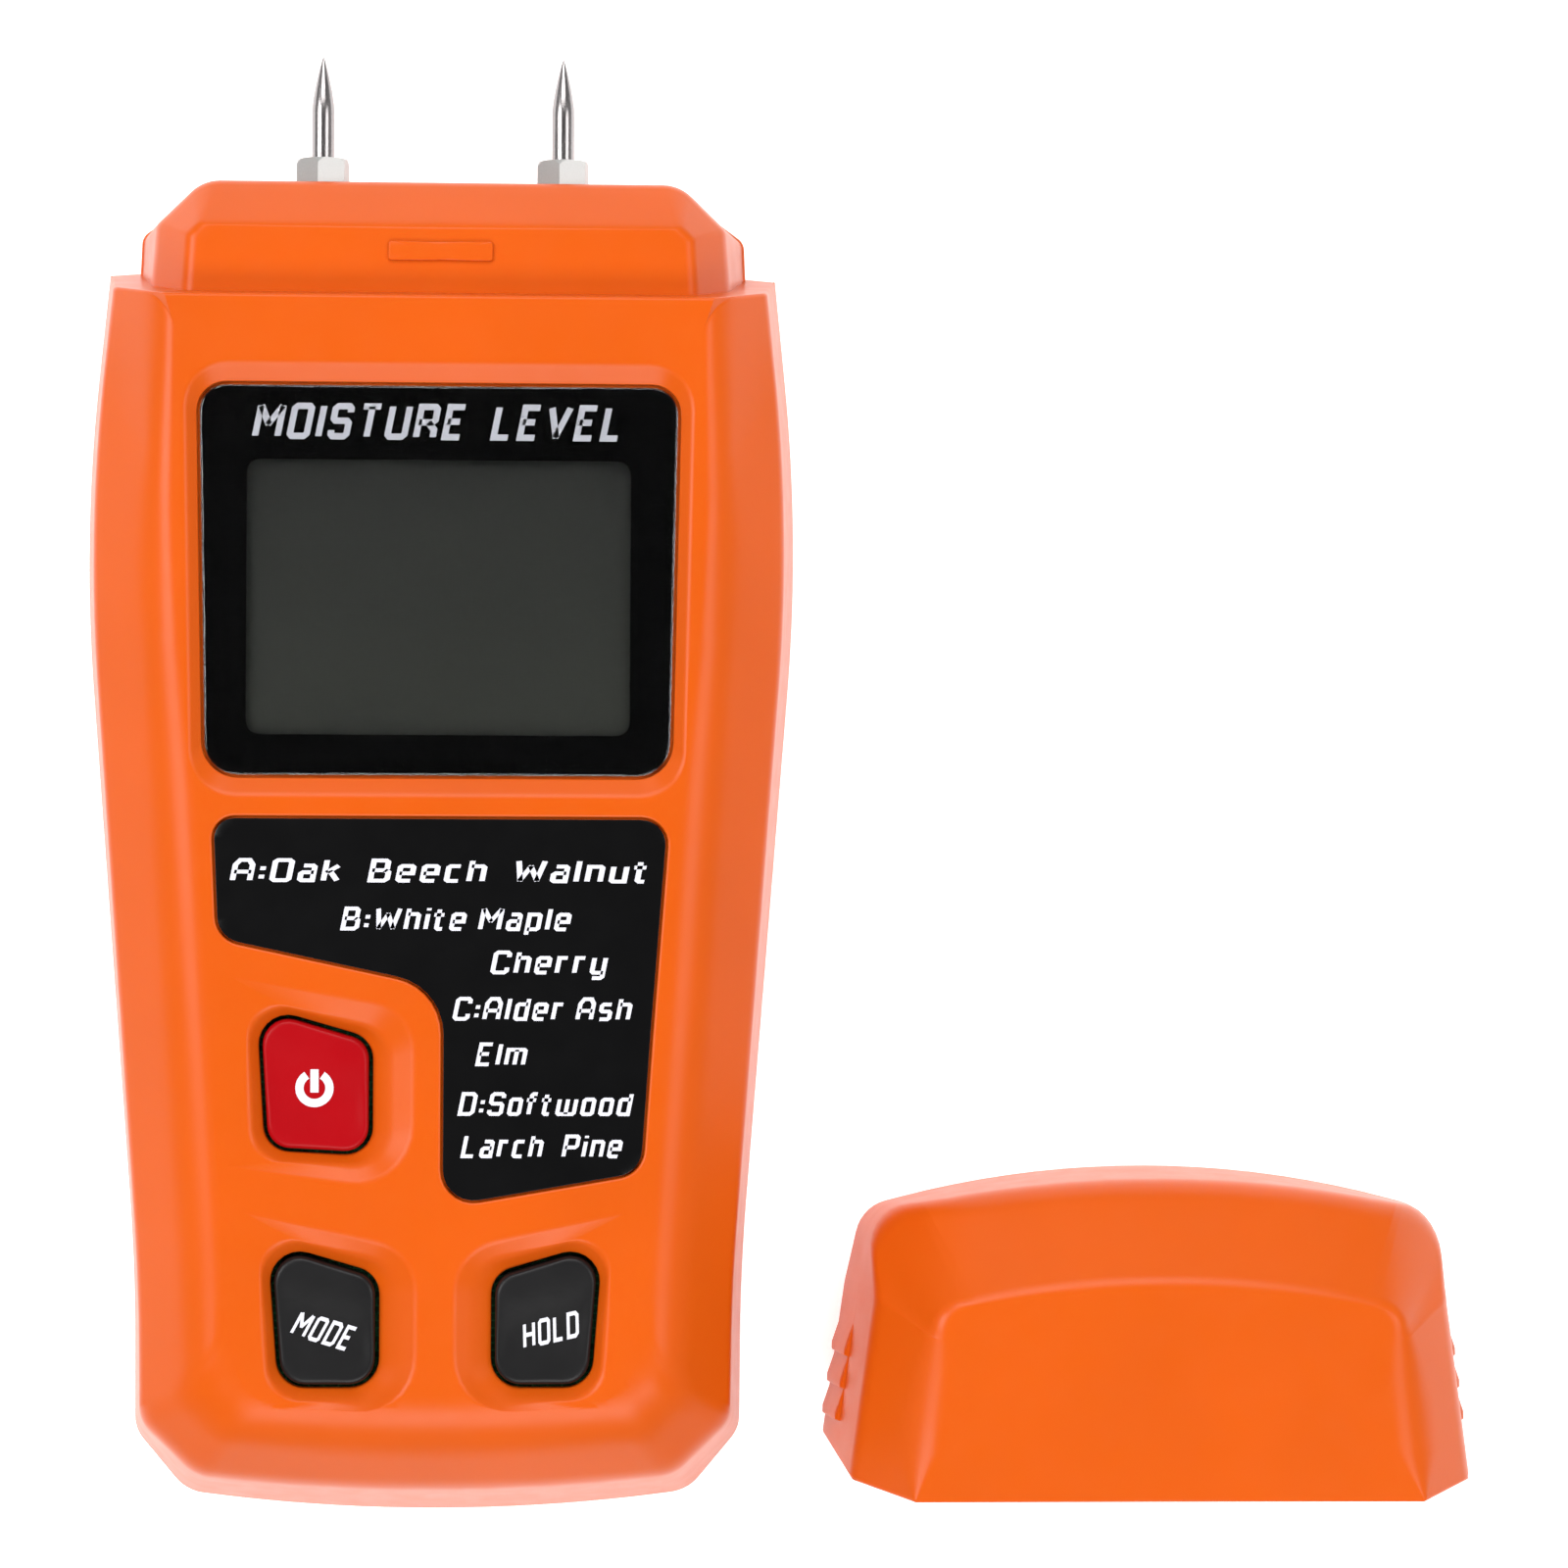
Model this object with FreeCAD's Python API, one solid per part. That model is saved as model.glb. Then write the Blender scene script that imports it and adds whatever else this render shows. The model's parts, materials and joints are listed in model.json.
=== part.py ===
import FreeCAD, Part
import math
import os

# Two-pin wood moisture meter with its slip-on pin cap, lying on its back.
# Millimetres. +Z leaves the display, +Y points to the pins, +X is the display's right.
# The origin is the middle of the flat back, half way along the housing.
# An outline is a list of corners (x, y, radius) at one height. Each shell runs through
# four outlines: the flat back, the parting line, the outer edge of the front bevel and
# the flat front.

# ---- driving dimensions: heights -------------------------------------------------
BACK_Z = 0.0
PARTING_Z = 7.0
BEVEL_Z = 21.5
FRONT_Z = 28.0
WALL = 2.0
FRONT_INSIDE_Z = 25.4
REAR_INSIDE_Z = BACK_Z + WALL

# ---- driving dimensions: housing ---------------------------------------------------
SHOULDER_Y = 57.0             # end of the flat front, where the cap seats
SHOULDER_SLANT = 0.183        # the shoulder goes this much further up per mm of depth
BODY_FRONT = [(26.0, 68.0, 0), (26.7, 33.0, 173), (22.25, -37.0, 200), (22.1, -46.6, 3.5),
              (18.4, -49.8, 4.3), (0, -51.4, 180)]
BODY_BEVEL = [(30.3, 68.0, 0), (33.75, 35.2, 173), (28.45, -37.4, 200), (28.3, -50.3, 3.5),
              (22.9, -55.5, 4.3), (0, -58.0, 190)]
BODY_PARTING = [(32.15, 68.0, 0), (35.5, 35.2, 173), (29.95, -37.4, 200), (29.9, -53.1, 3.5),
                (24.8, -59.25, 4.3), (0, -62.5, 175)]
BODY_BACK = [(26.2, 68.0, 0), (29.5, 35.2, 173), (23.95, -37.4, 200), (23.9, -49.0, 3.5),
             (20.0, -53.8, 4.3), (0, -56.6, 120)]

# ---- driving dimensions: head that carries the pins --------------------------------
HEAD_FRONT_Z = 25.0
HEAD_BEVEL_Z = 20.0
HEAD_BACK_Z = 2.3
HEAD_TOP_Y = 68.8
HEAD_ROOT_Y = 50.0            # the head starts inside the housing
HEAD_WALL = 2.2
HEAD_FRONT = [(24.7, HEAD_ROOT_Y, 0), (23.9, 62.9, 0.8), (22.9, 63.9, 0.8)]
HEAD_BEVEL = [(28.5, HEAD_ROOT_Y, 0), (27.3, 64.4, 1.2), (22.9, HEAD_TOP_Y, 4.0)]
HEAD_PARTING = [(30.2, HEAD_ROOT_Y, 0), (29.55, 64.6, 1.2), (23.9, HEAD_TOP_Y, 4.0)]
HEAD_BACK = [(24.9, HEAD_ROOT_Y, 0), (24.4, 62.5, 1.2), (20.5, 66.2, 1.2)]
CATCH_LENGTH = 10.0
CATCH_WIDTH = 1.8
CATCH_HEIGHT = 0.4
CATCH_Y = 61.5

# ---- driving dimensions: cap, given where it sits on the head ----------------------
CAP_WALL = 1.6
CAP_FACE_WALL = 1.8
CAP_RIM_GAP = 0.15
CAP_REST_X = 70.1             # it stands beside the meter, the same way up
CAP_REST_Y = -114.5
CAP_FRONT = [(25.4, 50.0, 0), (22.1, 75.6, 3.5), (0, 79.9, 97)]
CAP_BEVEL = [(31.2, 50.0, 0), (27.7, 76.0, 10), (28.2, 84.0, 5), (0, 89.5, 120)]
CAP_PARTING = [(33.6, 50.0, 0), (29.9, 76.0, 8), (28.2, 83.4, 4.0), (0, 90.9, 95)]
CAP_BACK = [(27.5, 50.0, 0), (24.0, 74.5, 8), (22.5, 80.0, 3), (0, 84.6, 95)]
CAP_BACK_Z = 0.15             # a little shallower than the housing, which stands first
CAP_CORNER = (27.7, 76.0, 21.5)     # the facet that takes off each top corner starts here
CAP_CORNER_FACING = (51.8, 32.8, 46.6)
CAP_CORNER_WALL = 2.0
GRIP_TEETH = 3
GRIP_PITCH = 3.15
GRIP_FIRST_Y = 63.0
GRIP_LENGTH = 3.3
GRIP_HEIGHT = 0.45
GRIP_Z = (8.0, 13.8)

# ---- driving dimensions: display, label and buttons ----------------------------------
WINDOW_TOP_Z = 27.2
WINDOW_THICKNESS = 1.0
WINDOW_GAP = 0.15
WINDOW = [(22.8, 48.6, 2.6), (22.1, 11.45, 3.3)]
RECESS = [(24.1, 50.65, 4.2), (23.3, 9.6, 4.2)]
VIEW_HALF = 19.4
VIEW_Y = (13.8, 42.9)
LABEL = [(-21.1, 7.44, 1.9), (21.8, 7.44, 2.3), (20.3, -12.6, 40), (19.4, -25.95, 2.6),
         (0.7, -29.2, 2.9), (0.7, -8.4, 5.6), (-20.6, -3.85, 2.5)]
LABEL_Z = (27.75, 27.95)
LABEL_GAP = 0.1

BUTTON_TOP_Z = 27.1
BUTTON_GAP = 0.4
BUTTON_EDGE = 0.45
FLANGE_GROWTH = 0.9
FLANGE_Z = (24.3, 25.2)
STEM_RADIUS = 2.0
STEM_FOOT_Z = 23.9
POWER_KEY = [(-16.65, -10.7, 2.4), (-6.4, -13.75, 2.2), (-6.4, -24.2, 2.2), (-15.85, -23.7, 2.2)]
MODE_KEY = [(-15.5, -33.1, 2.4), (-5.7, -36.1, 2.2), (-5.7, -46.2, 2.4), (-14.5, -46.2, 2.4)]
POWER_CENTRE = (-11.2, -18.2)
MODE_CENTRE = (-10.3, -41.0)
POWER_DISH = [(-20.5, -7.2, 0.5), (-2.15, -11.3, 5), (-2.15, -27.7, 5), (-20.5, -25.5, 0.5)]
MODE_DISH = [(-19.0, -29.6, 0.5), (-1.8, -33.9, 5), (-1.8, -49.0, 5), (-19.0, -48.4, 0.5)]
DISH_DEPTH = 1.2

# ---- driving dimensions: circuit board and what it carries ---------------------------
BOARD_Z = (20.2, 21.8)
BOARD = [(22.8, 48.3, 1.0), (22.8, -33.5, 1.0), (17.0, -36.0, 1.0), (17.0, -49.5, 1.0)]
GLASS_HALF = 20.6
GLASS_LOWER = (12.6, 44.0, 22.9, 24.0)
GLASS_UPPER = (14.0, 42.6, 24.0, 25.1)
FRAME_HALF = 22.4
FRAME_Y = (10.6, 46.0)
FRAME_TOP_Z = 25.2
GLASS_GAP = 0.15
STRIP_HALF = 18.5
STRIP_Y = ((12.9, 14.3), (42.3, 43.7))
SWITCH_SIDE = 6.0
SWITCH_TOP_Z = 23.1
PLUNGER_RADIUS = 1.6
PLUNGER_FOOT_Z = 22.6
SWITCH_FLOOR_Z = 21.9

# ---- driving dimensions: screws ------------------------------------------------------
BOARD_SCREWS = [(19.6, 5.0), (19.6, -29.5)]
BOARD_BOSS_RADIUS = 2.3
BOARD_SCREW_RADIUS = 0.9
BOARD_SCREW_TIP_Z = 24.4
HOUSING_SCREWS = [(24.3, 51.6), (20.6, -45.0)]
HOUSING_BOSS_RADIUS = 3.0
HOUSING_POST_RADIUS = 3.2
HOUSING_SCREW_RADIUS = 1.0
HOUSING_HEAD_RADIUS = 1.9
HOUSING_HEAD_Z = (1.0, 2.8)
HOUSING_SCREW_TIP_Z = 17.0

# ---- driving dimensions: battery, its door and its leads -------------------------------
BATTERY_HALF = 13.25
BATTERY_Z = (2.4, 19.9)
BATTERY_Y = (-53.0, -6.6)
TERMINAL_X = 6.35
TERMINAL_RADII = (2.8, 3.6)
TERMINAL_LENGTH = 2.1
SNAP_HALF = 12.6
SNAP_THICKNESS = 4.2
SNAP_HEIGHT = 12.6
DOOR_HALF = 13.7
DOOR_LIP_HALF = 14.8
DOOR_TOP_Y = -2.6
DOOR_GAP = 0.2
DOOR_LIP_Z = 1.1              # the door's side lips start here, on ledges just below
DOOR_LEDGE_Z = 0.9
TRAY_RIB_X = (15.3, 16.7)
TRAY_RIB_Z = 16.0
TRAY_Y = (-52.0, 3.0)
LEAD_RADIUS = 0.65

# ---- driving dimensions: pins ----------------------------------------------------------
PIN_X = 11.7
PIN_Z = 14.0
PIN_RADIUS = 1.1
PIN_THREAD_RADIUS = 0.87        # mean radius of an M2 thread
PIN_HOLE_GAP = 0.05
PIN_ROOT_Y = 62.4
PIN_SHANK_Y = 76.4
PIN_TIP_Y = 81.6
NUT_FLATS = 4.7
NUT_HEIGHT = 2.8
NUT_TURN = 22.0
LOCK_NUT_HEIGHT = 2.3
LUG_THICKNESS = 0.7
LUG_RADIUS = 2.9

FAR = 120.0                   # larger than the whole object, for cutting tools


# ---- small tools ---------------------------------------------------------------------
def point(x, y, z=0.0):
    return FreeCAD.Vector(x, y, z)


def block(x, y, z):
    """A box from three (low, high) pairs."""
    size = (x[1] - x[0], y[1] - y[0], z[1] - z[0])
    return Part.makeBox(size[0], size[1], size[2], point(x[0], y[0], z[0]))


def rod_z(x, y, radius, z):
    return Part.makeCylinder(radius, z[1] - z[0], point(x, y, z[0]))


def rod_y(x, z, radius, y):
    return Part.makeCylinder(radius, y[1] - y[0], point(x, y[0], z), point(0, 1, 0))


def mirrored(shape):
    return shape.mirror(point(0, 0, 0), point(1, 0, 0))


def joined(shapes):
    return shapes[0].multiFuse(shapes[1:]).removeSplitter()


def group(shapes):
    return Part.makeCompound(shapes)


def both_sides(right_side):
    """Corners of a symmetric outline from those of its right side, top to bottom."""
    left_side = [(-x, y, radius) for x, y, radius in reversed(right_side) if x > 0]
    return right_side + left_side


def inset(right_side, side, end):
    """Shrink a right side: the open end, its first corner, only moves sideways."""
    first_x, first_y, first_radius = right_side[0]
    moved = [(first_x - side, first_y, first_radius)]
    for x, y, radius in right_side[1:]:
        if abs(y) < 40:
            moved.append((x - side, y, radius))
        else:
            closed_y = y - math.copysign(end, y)
            moved.append((max(x - side, 0), closed_y, max(radius - side, 0.8)))
    return moved


def tangent_lengths(corners, turns):
    """How far each corner's arc reaches along its runs, cut back where two would meet."""
    count = len(corners)
    reach = [corners[i][2] * math.tan(turns[i] / 2) for i in range(count)]
    for i in range(count):
        j = (i + 1) % count
        run = math.dist(corners[i][:2], corners[j][:2])
        spare = run * 0.98 - reach[i] - reach[j]
        if spare < 0:
            longer = i if reach[i] > reach[j] else j
            reach[longer] += spare
    return reach


def outline(corners, z):
    """A closed wire of straight runs with a tangent arc at each rounded corner."""
    count = len(corners)
    places = [point(x, y, z) for x, y, _ in corners]
    runs = [(places[(i + 1) % count] - places[i]).normalize() for i in range(count)]
    turns = [runs[i - 1].getAngle(runs[i]) for i in range(count)]
    reach = tangent_lengths(corners, turns)
    edges = []
    for i in range(count):
        j = (i + 1) % count
        start = places[i] + runs[i] * reach[i]
        end = places[j] - runs[i] * reach[j]
        edges.append(Part.LineSegment(start, end).toShape())
        if reach[j] > 0:
            leave = places[j] + runs[j] * reach[j]
            bisector = (runs[j] - runs[i]).normalize()
            half = turns[j] / 2
            depth = reach[j] / math.tan(half) * (1 / math.cos(half) - 1)
            middle = places[j] + bisector * depth
            edges.append(Part.Arc(end, middle, leave).toShape())
    return Part.Wire(edges)


def prism(wire, height):
    return Part.Face(wire).extrude(point(0, 0, height))


def plate(corners, z):
    return prism(outline(corners, z[0]), z[1] - z[0])


def through(sections):
    """A solid through outlines at rising heights, given as (right side, height) pairs."""
    wires = [outline(both_sides(right_side), z) for right_side, z in sections]
    spans = []
    for lower, upper in zip(wires, wires[1:]):
        spans.append(Part.makeLoft([lower, upper], True, True))
    return joined(spans)


def swept_yz(profile, x):
    """A polygon of (y, z) points extruded along X."""
    corners = [point(x[0], y, z) for y, z in profile]
    face = Part.Face(Part.makePolygon(corners + corners[:1]))
    return face.extrude(point(x[1] - x[0], 0, 0))


def beyond_shoulder(shift):
    """Everything above the slanted shoulder plane, moved along Y by shift."""
    low_z = -5.0
    high_z = 33.0
    low_y = SHOULDER_Y + SHOULDER_SLANT * (FRONT_Z - low_z) + shift
    high_y = SHOULDER_Y + SHOULDER_SLANT * (FRONT_Z - high_z) + shift
    profile = [(low_y, low_z), (high_y, high_z), (FAR, high_z), (FAR, low_z)]
    return swept_yz(profile, (-FAR, FAR))


def hexagon_y(x, z, flats, y, turn):
    """A hexagonal bar along Y, turned by degrees, with its outer end chamfered."""
    radius = flats / math.sqrt(3)
    corners = []
    for step in range(6):
        angle = math.radians(turn + 60 * step)
        corners.append(point(x + radius * math.cos(angle), y[0], z + radius * math.sin(angle)))
    bar = Part.Face(Part.makePolygon(corners + corners[:1])).extrude(point(0, y[1] - y[0], 0))
    taper = 0.45
    cone_foot = y[1] - taper
    barrel = rod_y(x, z, radius, (y[0], cone_foot))
    cone = Part.makeCone(radius, radius - taper * 1.7, taper, point(x, cone_foot, z), point(0, 1, 0))
    return bar.common(joined([barrel, cone]))


def screw(x, y, shank_radius, head_radius, head_z, tip_z):
    """A cross-head screw driven upwards, head below."""
    head = rod_z(x, y, head_radius, head_z)
    shank = rod_z(x, y, shank_radius, (head_z[1], tip_z))
    slot_half = head_radius * 0.6
    slot_width = head_radius * 0.14
    slot_z = (head_z[0] - 0.1, head_z[0] + 0.7)
    long_slot = block((x - slot_half, x + slot_half), (y - slot_width, y + slot_width), slot_z)
    cross_slot = block((x - slot_width, x + slot_width), (y - slot_half, y + slot_half), slot_z)
    return joined([head, shank]).cut(long_slot.fuse(cross_slot))


def each_side(places):
    return [(side * x, y) for x, y in places for side in (-1, 1)]


# ---- shells ------------------------------------------------------------------------------
def housing_outside():
    body = through([(BODY_BACK, BACK_Z), (BODY_PARTING, PARTING_Z),
                    (BODY_BEVEL, BEVEL_Z), (BODY_FRONT, FRONT_Z)])
    head = through([(HEAD_BACK, HEAD_BACK_Z), (HEAD_PARTING, PARTING_Z),
                    (HEAD_BEVEL, HEAD_BEVEL_Z), (HEAD_FRONT, HEAD_FRONT_Z)])
    return joined([body.cut(beyond_shoulder(0)), head])


def housing_inside():
    body = through([(inset(BODY_BACK, 0.9, 0.9), REAR_INSIDE_Z),
                    (inset(BODY_PARTING, 2.2, 2.2), PARTING_Z),
                    (inset(BODY_BEVEL, WALL, WALL), BEVEL_Z - 0.9),
                    (inset(BODY_FRONT, 0.5, 0.5), FRONT_INSIDE_Z)])
    head = through([(inset(HEAD_BACK, 1.2, 1.2), HEAD_BACK_Z + WALL),
                    (inset(HEAD_PARTING, HEAD_WALL, HEAD_WALL), PARTING_Z),
                    (inset(HEAD_BEVEL, HEAD_WALL, HEAD_WALL), HEAD_BEVEL_Z - 0.6),
                    (inset(HEAD_FRONT, WALL, WALL), HEAD_FRONT_Z - HEAD_WALL)])
    return joined([body.cut(beyond_shoulder(-HEAD_WALL)), head])


def catch():
    corners = [(CATCH_LENGTH / 2, CATCH_Y + CATCH_WIDTH / 2, 0.25),
               (CATCH_LENGTH / 2, CATCH_Y - CATCH_WIDTH / 2, 0.25)]
    return plate(both_sides(corners), (HEAD_FRONT_Z - 0.5, HEAD_FRONT_Z + CATCH_HEIGHT))


def display_recess():
    """Sloped surround, pocket for the window and the hole that the glass shows through."""
    window = outline(both_sides(WINDOW), WINDOW_TOP_Z).makeOffset2D(WINDOW_GAP)
    rim = outline(both_sides(RECESS), FRONT_Z)
    surround = Part.makeLoft([window, rim], True, True)
    pocket = prism(window, -WINDOW_THICKNESS)
    opening = block((-VIEW_HALF, VIEW_HALF), VIEW_Y, (FRONT_INSIDE_Z - 1, WINDOW_TOP_Z))
    return joined([surround, pocket, opening])


def label_recess():
    edge = outline(LABEL, LABEL_Z[0]).makeOffset2D(LABEL_GAP)
    return prism(edge, FRONT_Z - LABEL_Z[0] + 1)


def key_well(key, dish):
    """The hole for a key, in a dish that deepens towards the meter's middle."""
    hole = prism(outline(key, FRONT_INSIDE_Z - 1).makeOffset2D(BUTTON_GAP), 5)
    shallow_x = dish[0][0] + 2
    deep_x = dish[1][0]
    over = FRONT_Z + 2
    floor = [point(shallow_x, -FAR, FRONT_Z), point(deep_x, -FAR, FRONT_Z - DISH_DEPTH),
             point(deep_x, -FAR, over), point(shallow_x, -FAR, over)]
    wedge = Part.Face(Part.makePolygon(floor + floor[:1])).extrude(point(0, FAR, 0))
    scoop = plate(dish, (FRONT_Z - 2, over)).common(wedge)
    return joined([hole, scoop])


def front_shell(shell):
    solid = shell.common(block((-FAR, FAR), (-FAR, FAR), (PARTING_Z, FAR)))
    bosses = [catch()]
    for x, y in each_side(BOARD_SCREWS):
        bosses.append(rod_z(x, y, BOARD_BOSS_RADIUS, (BOARD_Z[1], FRONT_INSIDE_Z + 0.4)))
    for x, y in each_side(HOUSING_SCREWS):
        bosses.append(rod_z(x, y, HOUSING_BOSS_RADIUS, (PARTING_Z, FRONT_INSIDE_Z + 0.4)))
    solid = joined([solid] + bosses)
    holes = [display_recess(), label_recess(), key_well(POWER_KEY, POWER_DISH),
             key_well(MODE_KEY, MODE_DISH), mirrored(key_well(MODE_KEY, MODE_DISH))]
    for x, y in each_side(BOARD_SCREWS):
        holes.append(rod_z(x, y, BOARD_SCREW_RADIUS, (BOARD_Z[1] - 1, BOARD_SCREW_TIP_Z + 0.3)))
    for x, y in each_side(HOUSING_SCREWS):
        holes.append(rod_z(x, y, HOUSING_SCREW_RADIUS, (PARTING_Z - 1, HOUSING_SCREW_TIP_Z + 0.5)))
    for side in (-1, 1):
        holes.append(rod_y(side * PIN_X, PIN_Z, PIN_THREAD_RADIUS + PIN_HOLE_GAP, (60, FAR)))
    return solid.cut(holes)


def door_space(growth, lip_z):
    """The stepped shape of the door and its slot: narrow outside, wider inside."""
    y = (-FAR, DOOR_TOP_Y + growth)
    narrow_half = DOOR_HALF + growth
    wide_half = DOOR_LIP_HALF + growth
    narrow = block((-narrow_half, narrow_half), y, (-1, FRONT_Z))
    wide = block((-wide_half, wide_half), y, (lip_z, REAR_INSIDE_Z))
    return narrow.fuse(wide)


def rear_shell(shell):
    solid = shell.common(block((-FAR, FAR), (-FAR, FAR), (-FAR, PARTING_Z)))
    tray = []
    for side in (-1, 1):
        edges = sorted((side * TRAY_RIB_X[0], side * TRAY_RIB_X[1]))
        tray.append(block(edges, TRAY_Y, (REAR_INSIDE_Z - 0.4, TRAY_RIB_Z)))
    tray.append(block((-TRAY_RIB_X[1], TRAY_RIB_X[1]), (TRAY_Y[1], TRAY_Y[1] + 1.4),
                      (REAR_INSIDE_Z - 0.4, 11.0)))
    for x, y in each_side(HOUSING_SCREWS):
        tray.append(rod_z(x, y, HOUSING_POST_RADIUS, (BACK_Z + 0.2, PARTING_Z)))
    solid = joined([solid] + tray)
    holes = [door_space(DOOR_GAP, DOOR_LEDGE_Z)]
    for x, y in each_side(HOUSING_SCREWS):
        holes.append(rod_z(x, y, HOUSING_HEAD_RADIUS + 0.2, (-1, HOUSING_HEAD_Z[1])))
        holes.append(rod_z(x, y, HOUSING_SCREW_RADIUS + 0.2, (0, PARTING_Z + 1)))
    return solid.cut(holes)


def battery_door(shell):
    solid = shell.common(block((-FAR, FAR), (-FAR, FAR), (-FAR, PARTING_Z)))
    solid = solid.common(door_space(0, DOOR_LIP_Z))
    grooves = []
    for step in range(6):
        y = -50.0 + 1.7 * step
        grooves.append(block((-6.0, 6.0), (y, y + 0.8), (-1, 0.45)))
    return solid.cut(grooves)


def cap_shell():
    outside = through([(CAP_BACK, CAP_BACK_Z), (CAP_PARTING, PARTING_Z),
                       (CAP_BEVEL, BEVEL_Z), (CAP_FRONT, FRONT_Z)]).cut(cap_corners(0))
    inside = through([(inset(CAP_BACK, 0.7, 0.9), CAP_BACK_Z + CAP_FACE_WALL),
                      (inset(CAP_PARTING, CAP_WALL, CAP_FACE_WALL), PARTING_Z),
                      (inset(CAP_BEVEL, CAP_WALL, CAP_FACE_WALL), BEVEL_Z - 0.9),
                      (inset(CAP_FRONT, 0.2, 1.4), FRONT_Z - CAP_FACE_WALL)])
    inside = inside.cut(cap_corners(CAP_CORNER_WALL))
    teeth = []
    for step in range(GRIP_TEETH):
        tooth = grip_tooth(GRIP_FIRST_Y + GRIP_PITCH * step)
        teeth += [tooth, mirrored(tooth)]
    shell = joined([outside] + teeth).common(beyond_shoulder(CAP_RIM_GAP)).cut(inside)
    shell.translate(point(CAP_REST_X, CAP_REST_Y, 0))
    return shell


def cap_corners(depth):
    """The material outside the two corner facets, each moved inwards by depth."""
    facing = point(*CAP_CORNER_FACING).normalize()
    slab = Part.makeBox(80, 80, 40, point(-40, -40, -depth))
    turn = FreeCAD.Rotation(point(0, 0, 1), facing)
    slab.Placement = FreeCAD.Placement(point(*CAP_CORNER), turn).multiply(slab.Placement)
    return [slab, mirrored(slab)]


def grip_tooth(foot_y):
    """One sawtooth of the cap's side grip, its flat side towards the rim."""
    top_y = foot_y + GRIP_LENGTH
    depth = 1.2

    def side_x(y, z):
        flare = (BEVEL_Z - z) / (BEVEL_Z - PARTING_Z)
        bevel_x = 31.2 - (y - 50.0) * (31.2 - 27.8) / (75.2 - 50.0)
        parting_x = 33.6 - (y - 50.0) * (33.6 - 29.9) / (76.0 - 50.0)
        return bevel_x + flare * (parting_x - bevel_x)

    wires = []
    for z in GRIP_Z:
        corners = [point(side_x(foot_y, z) - depth, foot_y, z),
                   point(side_x(foot_y, z) + GRIP_HEIGHT, foot_y, z),
                   point(side_x(foot_y, z) + GRIP_HEIGHT, foot_y + 0.7, z),
                   point(side_x(top_y, z), top_y, z),
                   point(side_x(top_y, z) - depth, top_y, z)]
        wires.append(Part.makePolygon(corners + corners[:1]))
    return Part.makeLoft(wires, True, True)


# ---- display, label and keys -----------------------------------------------------------
def display_window():
    return plate(both_sides(WINDOW), (WINDOW_TOP_Z - WINDOW_THICKNESS, WINDOW_TOP_Z))


def species_label():
    return plate(LABEL, LABEL_Z)


def key(corners, centre):
    """A key cap with the flange that keeps it in and the stem that works its switch."""
    cap = plate(corners, (FLANGE_Z[1] - 0.2, BUTTON_TOP_Z))
    top_edges = [edge for edge in cap.Edges if edge.BoundBox.ZMin > BUTTON_TOP_Z - 0.01]
    cap = cap.makeFillet(BUTTON_EDGE, top_edges)
    flange_wire = outline(corners, FLANGE_Z[0]).makeOffset2D(FLANGE_GROWTH)
    flange = prism(flange_wire, FLANGE_Z[1] - FLANGE_Z[0])
    stem = rod_z(centre[0], centre[1], STEM_RADIUS, (STEM_FOOT_Z, FLANGE_Z[0]))
    return joined([cap, flange, stem])


def plunger(centre):
    return rod_z(centre[0], centre[1], PLUNGER_RADIUS, (PLUNGER_FOOT_Z, STEM_FOOT_Z))


def switch_bodies():
    bodies = []
    half = SWITCH_SIDE / 2
    for x, y in (POWER_CENTRE, MODE_CENTRE, (-MODE_CENTRE[0], MODE_CENTRE[1])):
        case = block((x - half, x + half), (y - half, y + half), (BOARD_Z[1], SWITCH_TOP_Z))
        well = rod_z(x, y, PLUNGER_RADIUS + 0.15, (SWITCH_FLOOR_Z, SWITCH_TOP_Z + 1))
        bodies.append(case.cut(well))
    return group(bodies)


# ---- circuit board ---------------------------------------------------------------------
def main_board():
    board = plate(both_sides(BOARD), BOARD_Z)
    holes = [rod_z(x, y, BOARD_SCREW_RADIUS + 0.2, (BOARD_Z[0] - 1, BOARD_Z[1] + 1))
             for x, y in each_side(BOARD_SCREWS)]
    return board.cut(holes)


def lcd_glass():
    plates = []
    for low_y, high_y, low_z, high_z in (GLASS_LOWER, GLASS_UPPER):
        plates.append(block((-GLASS_HALF, GLASS_HALF), (low_y, high_y), (low_z, high_z)))
    return joined(plates)


def lcd_frame():
    outer = block((-FRAME_HALF, FRAME_HALF), FRAME_Y, (BOARD_Z[1], FRAME_TOP_Z))
    inner = block((-GLASS_HALF - GLASS_GAP, GLASS_HALF + GLASS_GAP),
                  (GLASS_LOWER[0] - GLASS_GAP, GLASS_LOWER[1] + GLASS_GAP),
                  (BOARD_Z[1] - 1, FRAME_TOP_Z + 1))
    return outer.cut(inner)


def zebra_strips():
    return group([block((-STRIP_HALF, STRIP_HALF), y, (BOARD_Z[1], GLASS_LOWER[2]))
                  for y in STRIP_Y])


def microcontroller():
    """A flat-pack chip under the board, with eight legs on each side."""
    centre_y = 24.0
    half = 4.5
    top_z = BOARD_Z[0]
    parts = [block((-half, half), (centre_y - half, centre_y + half), (top_z - 1.6, top_z - 0.15))]
    for step in range(8):
        offset = -3.5 + step
        across = (offset - 0.2, offset + 0.2)
        along = (centre_y + offset - 0.2, centre_y + offset + 0.2)
        for low, high in ((-half - 1.2, -half + 0.4), (half - 0.4, half + 1.2)):
            parts.append(block((low, high), along, (top_z - 0.7, top_z)))
            parts.append(block(across, (centre_y + low, centre_y + high), (top_z - 0.7, top_z)))
    return joined(parts)


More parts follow.
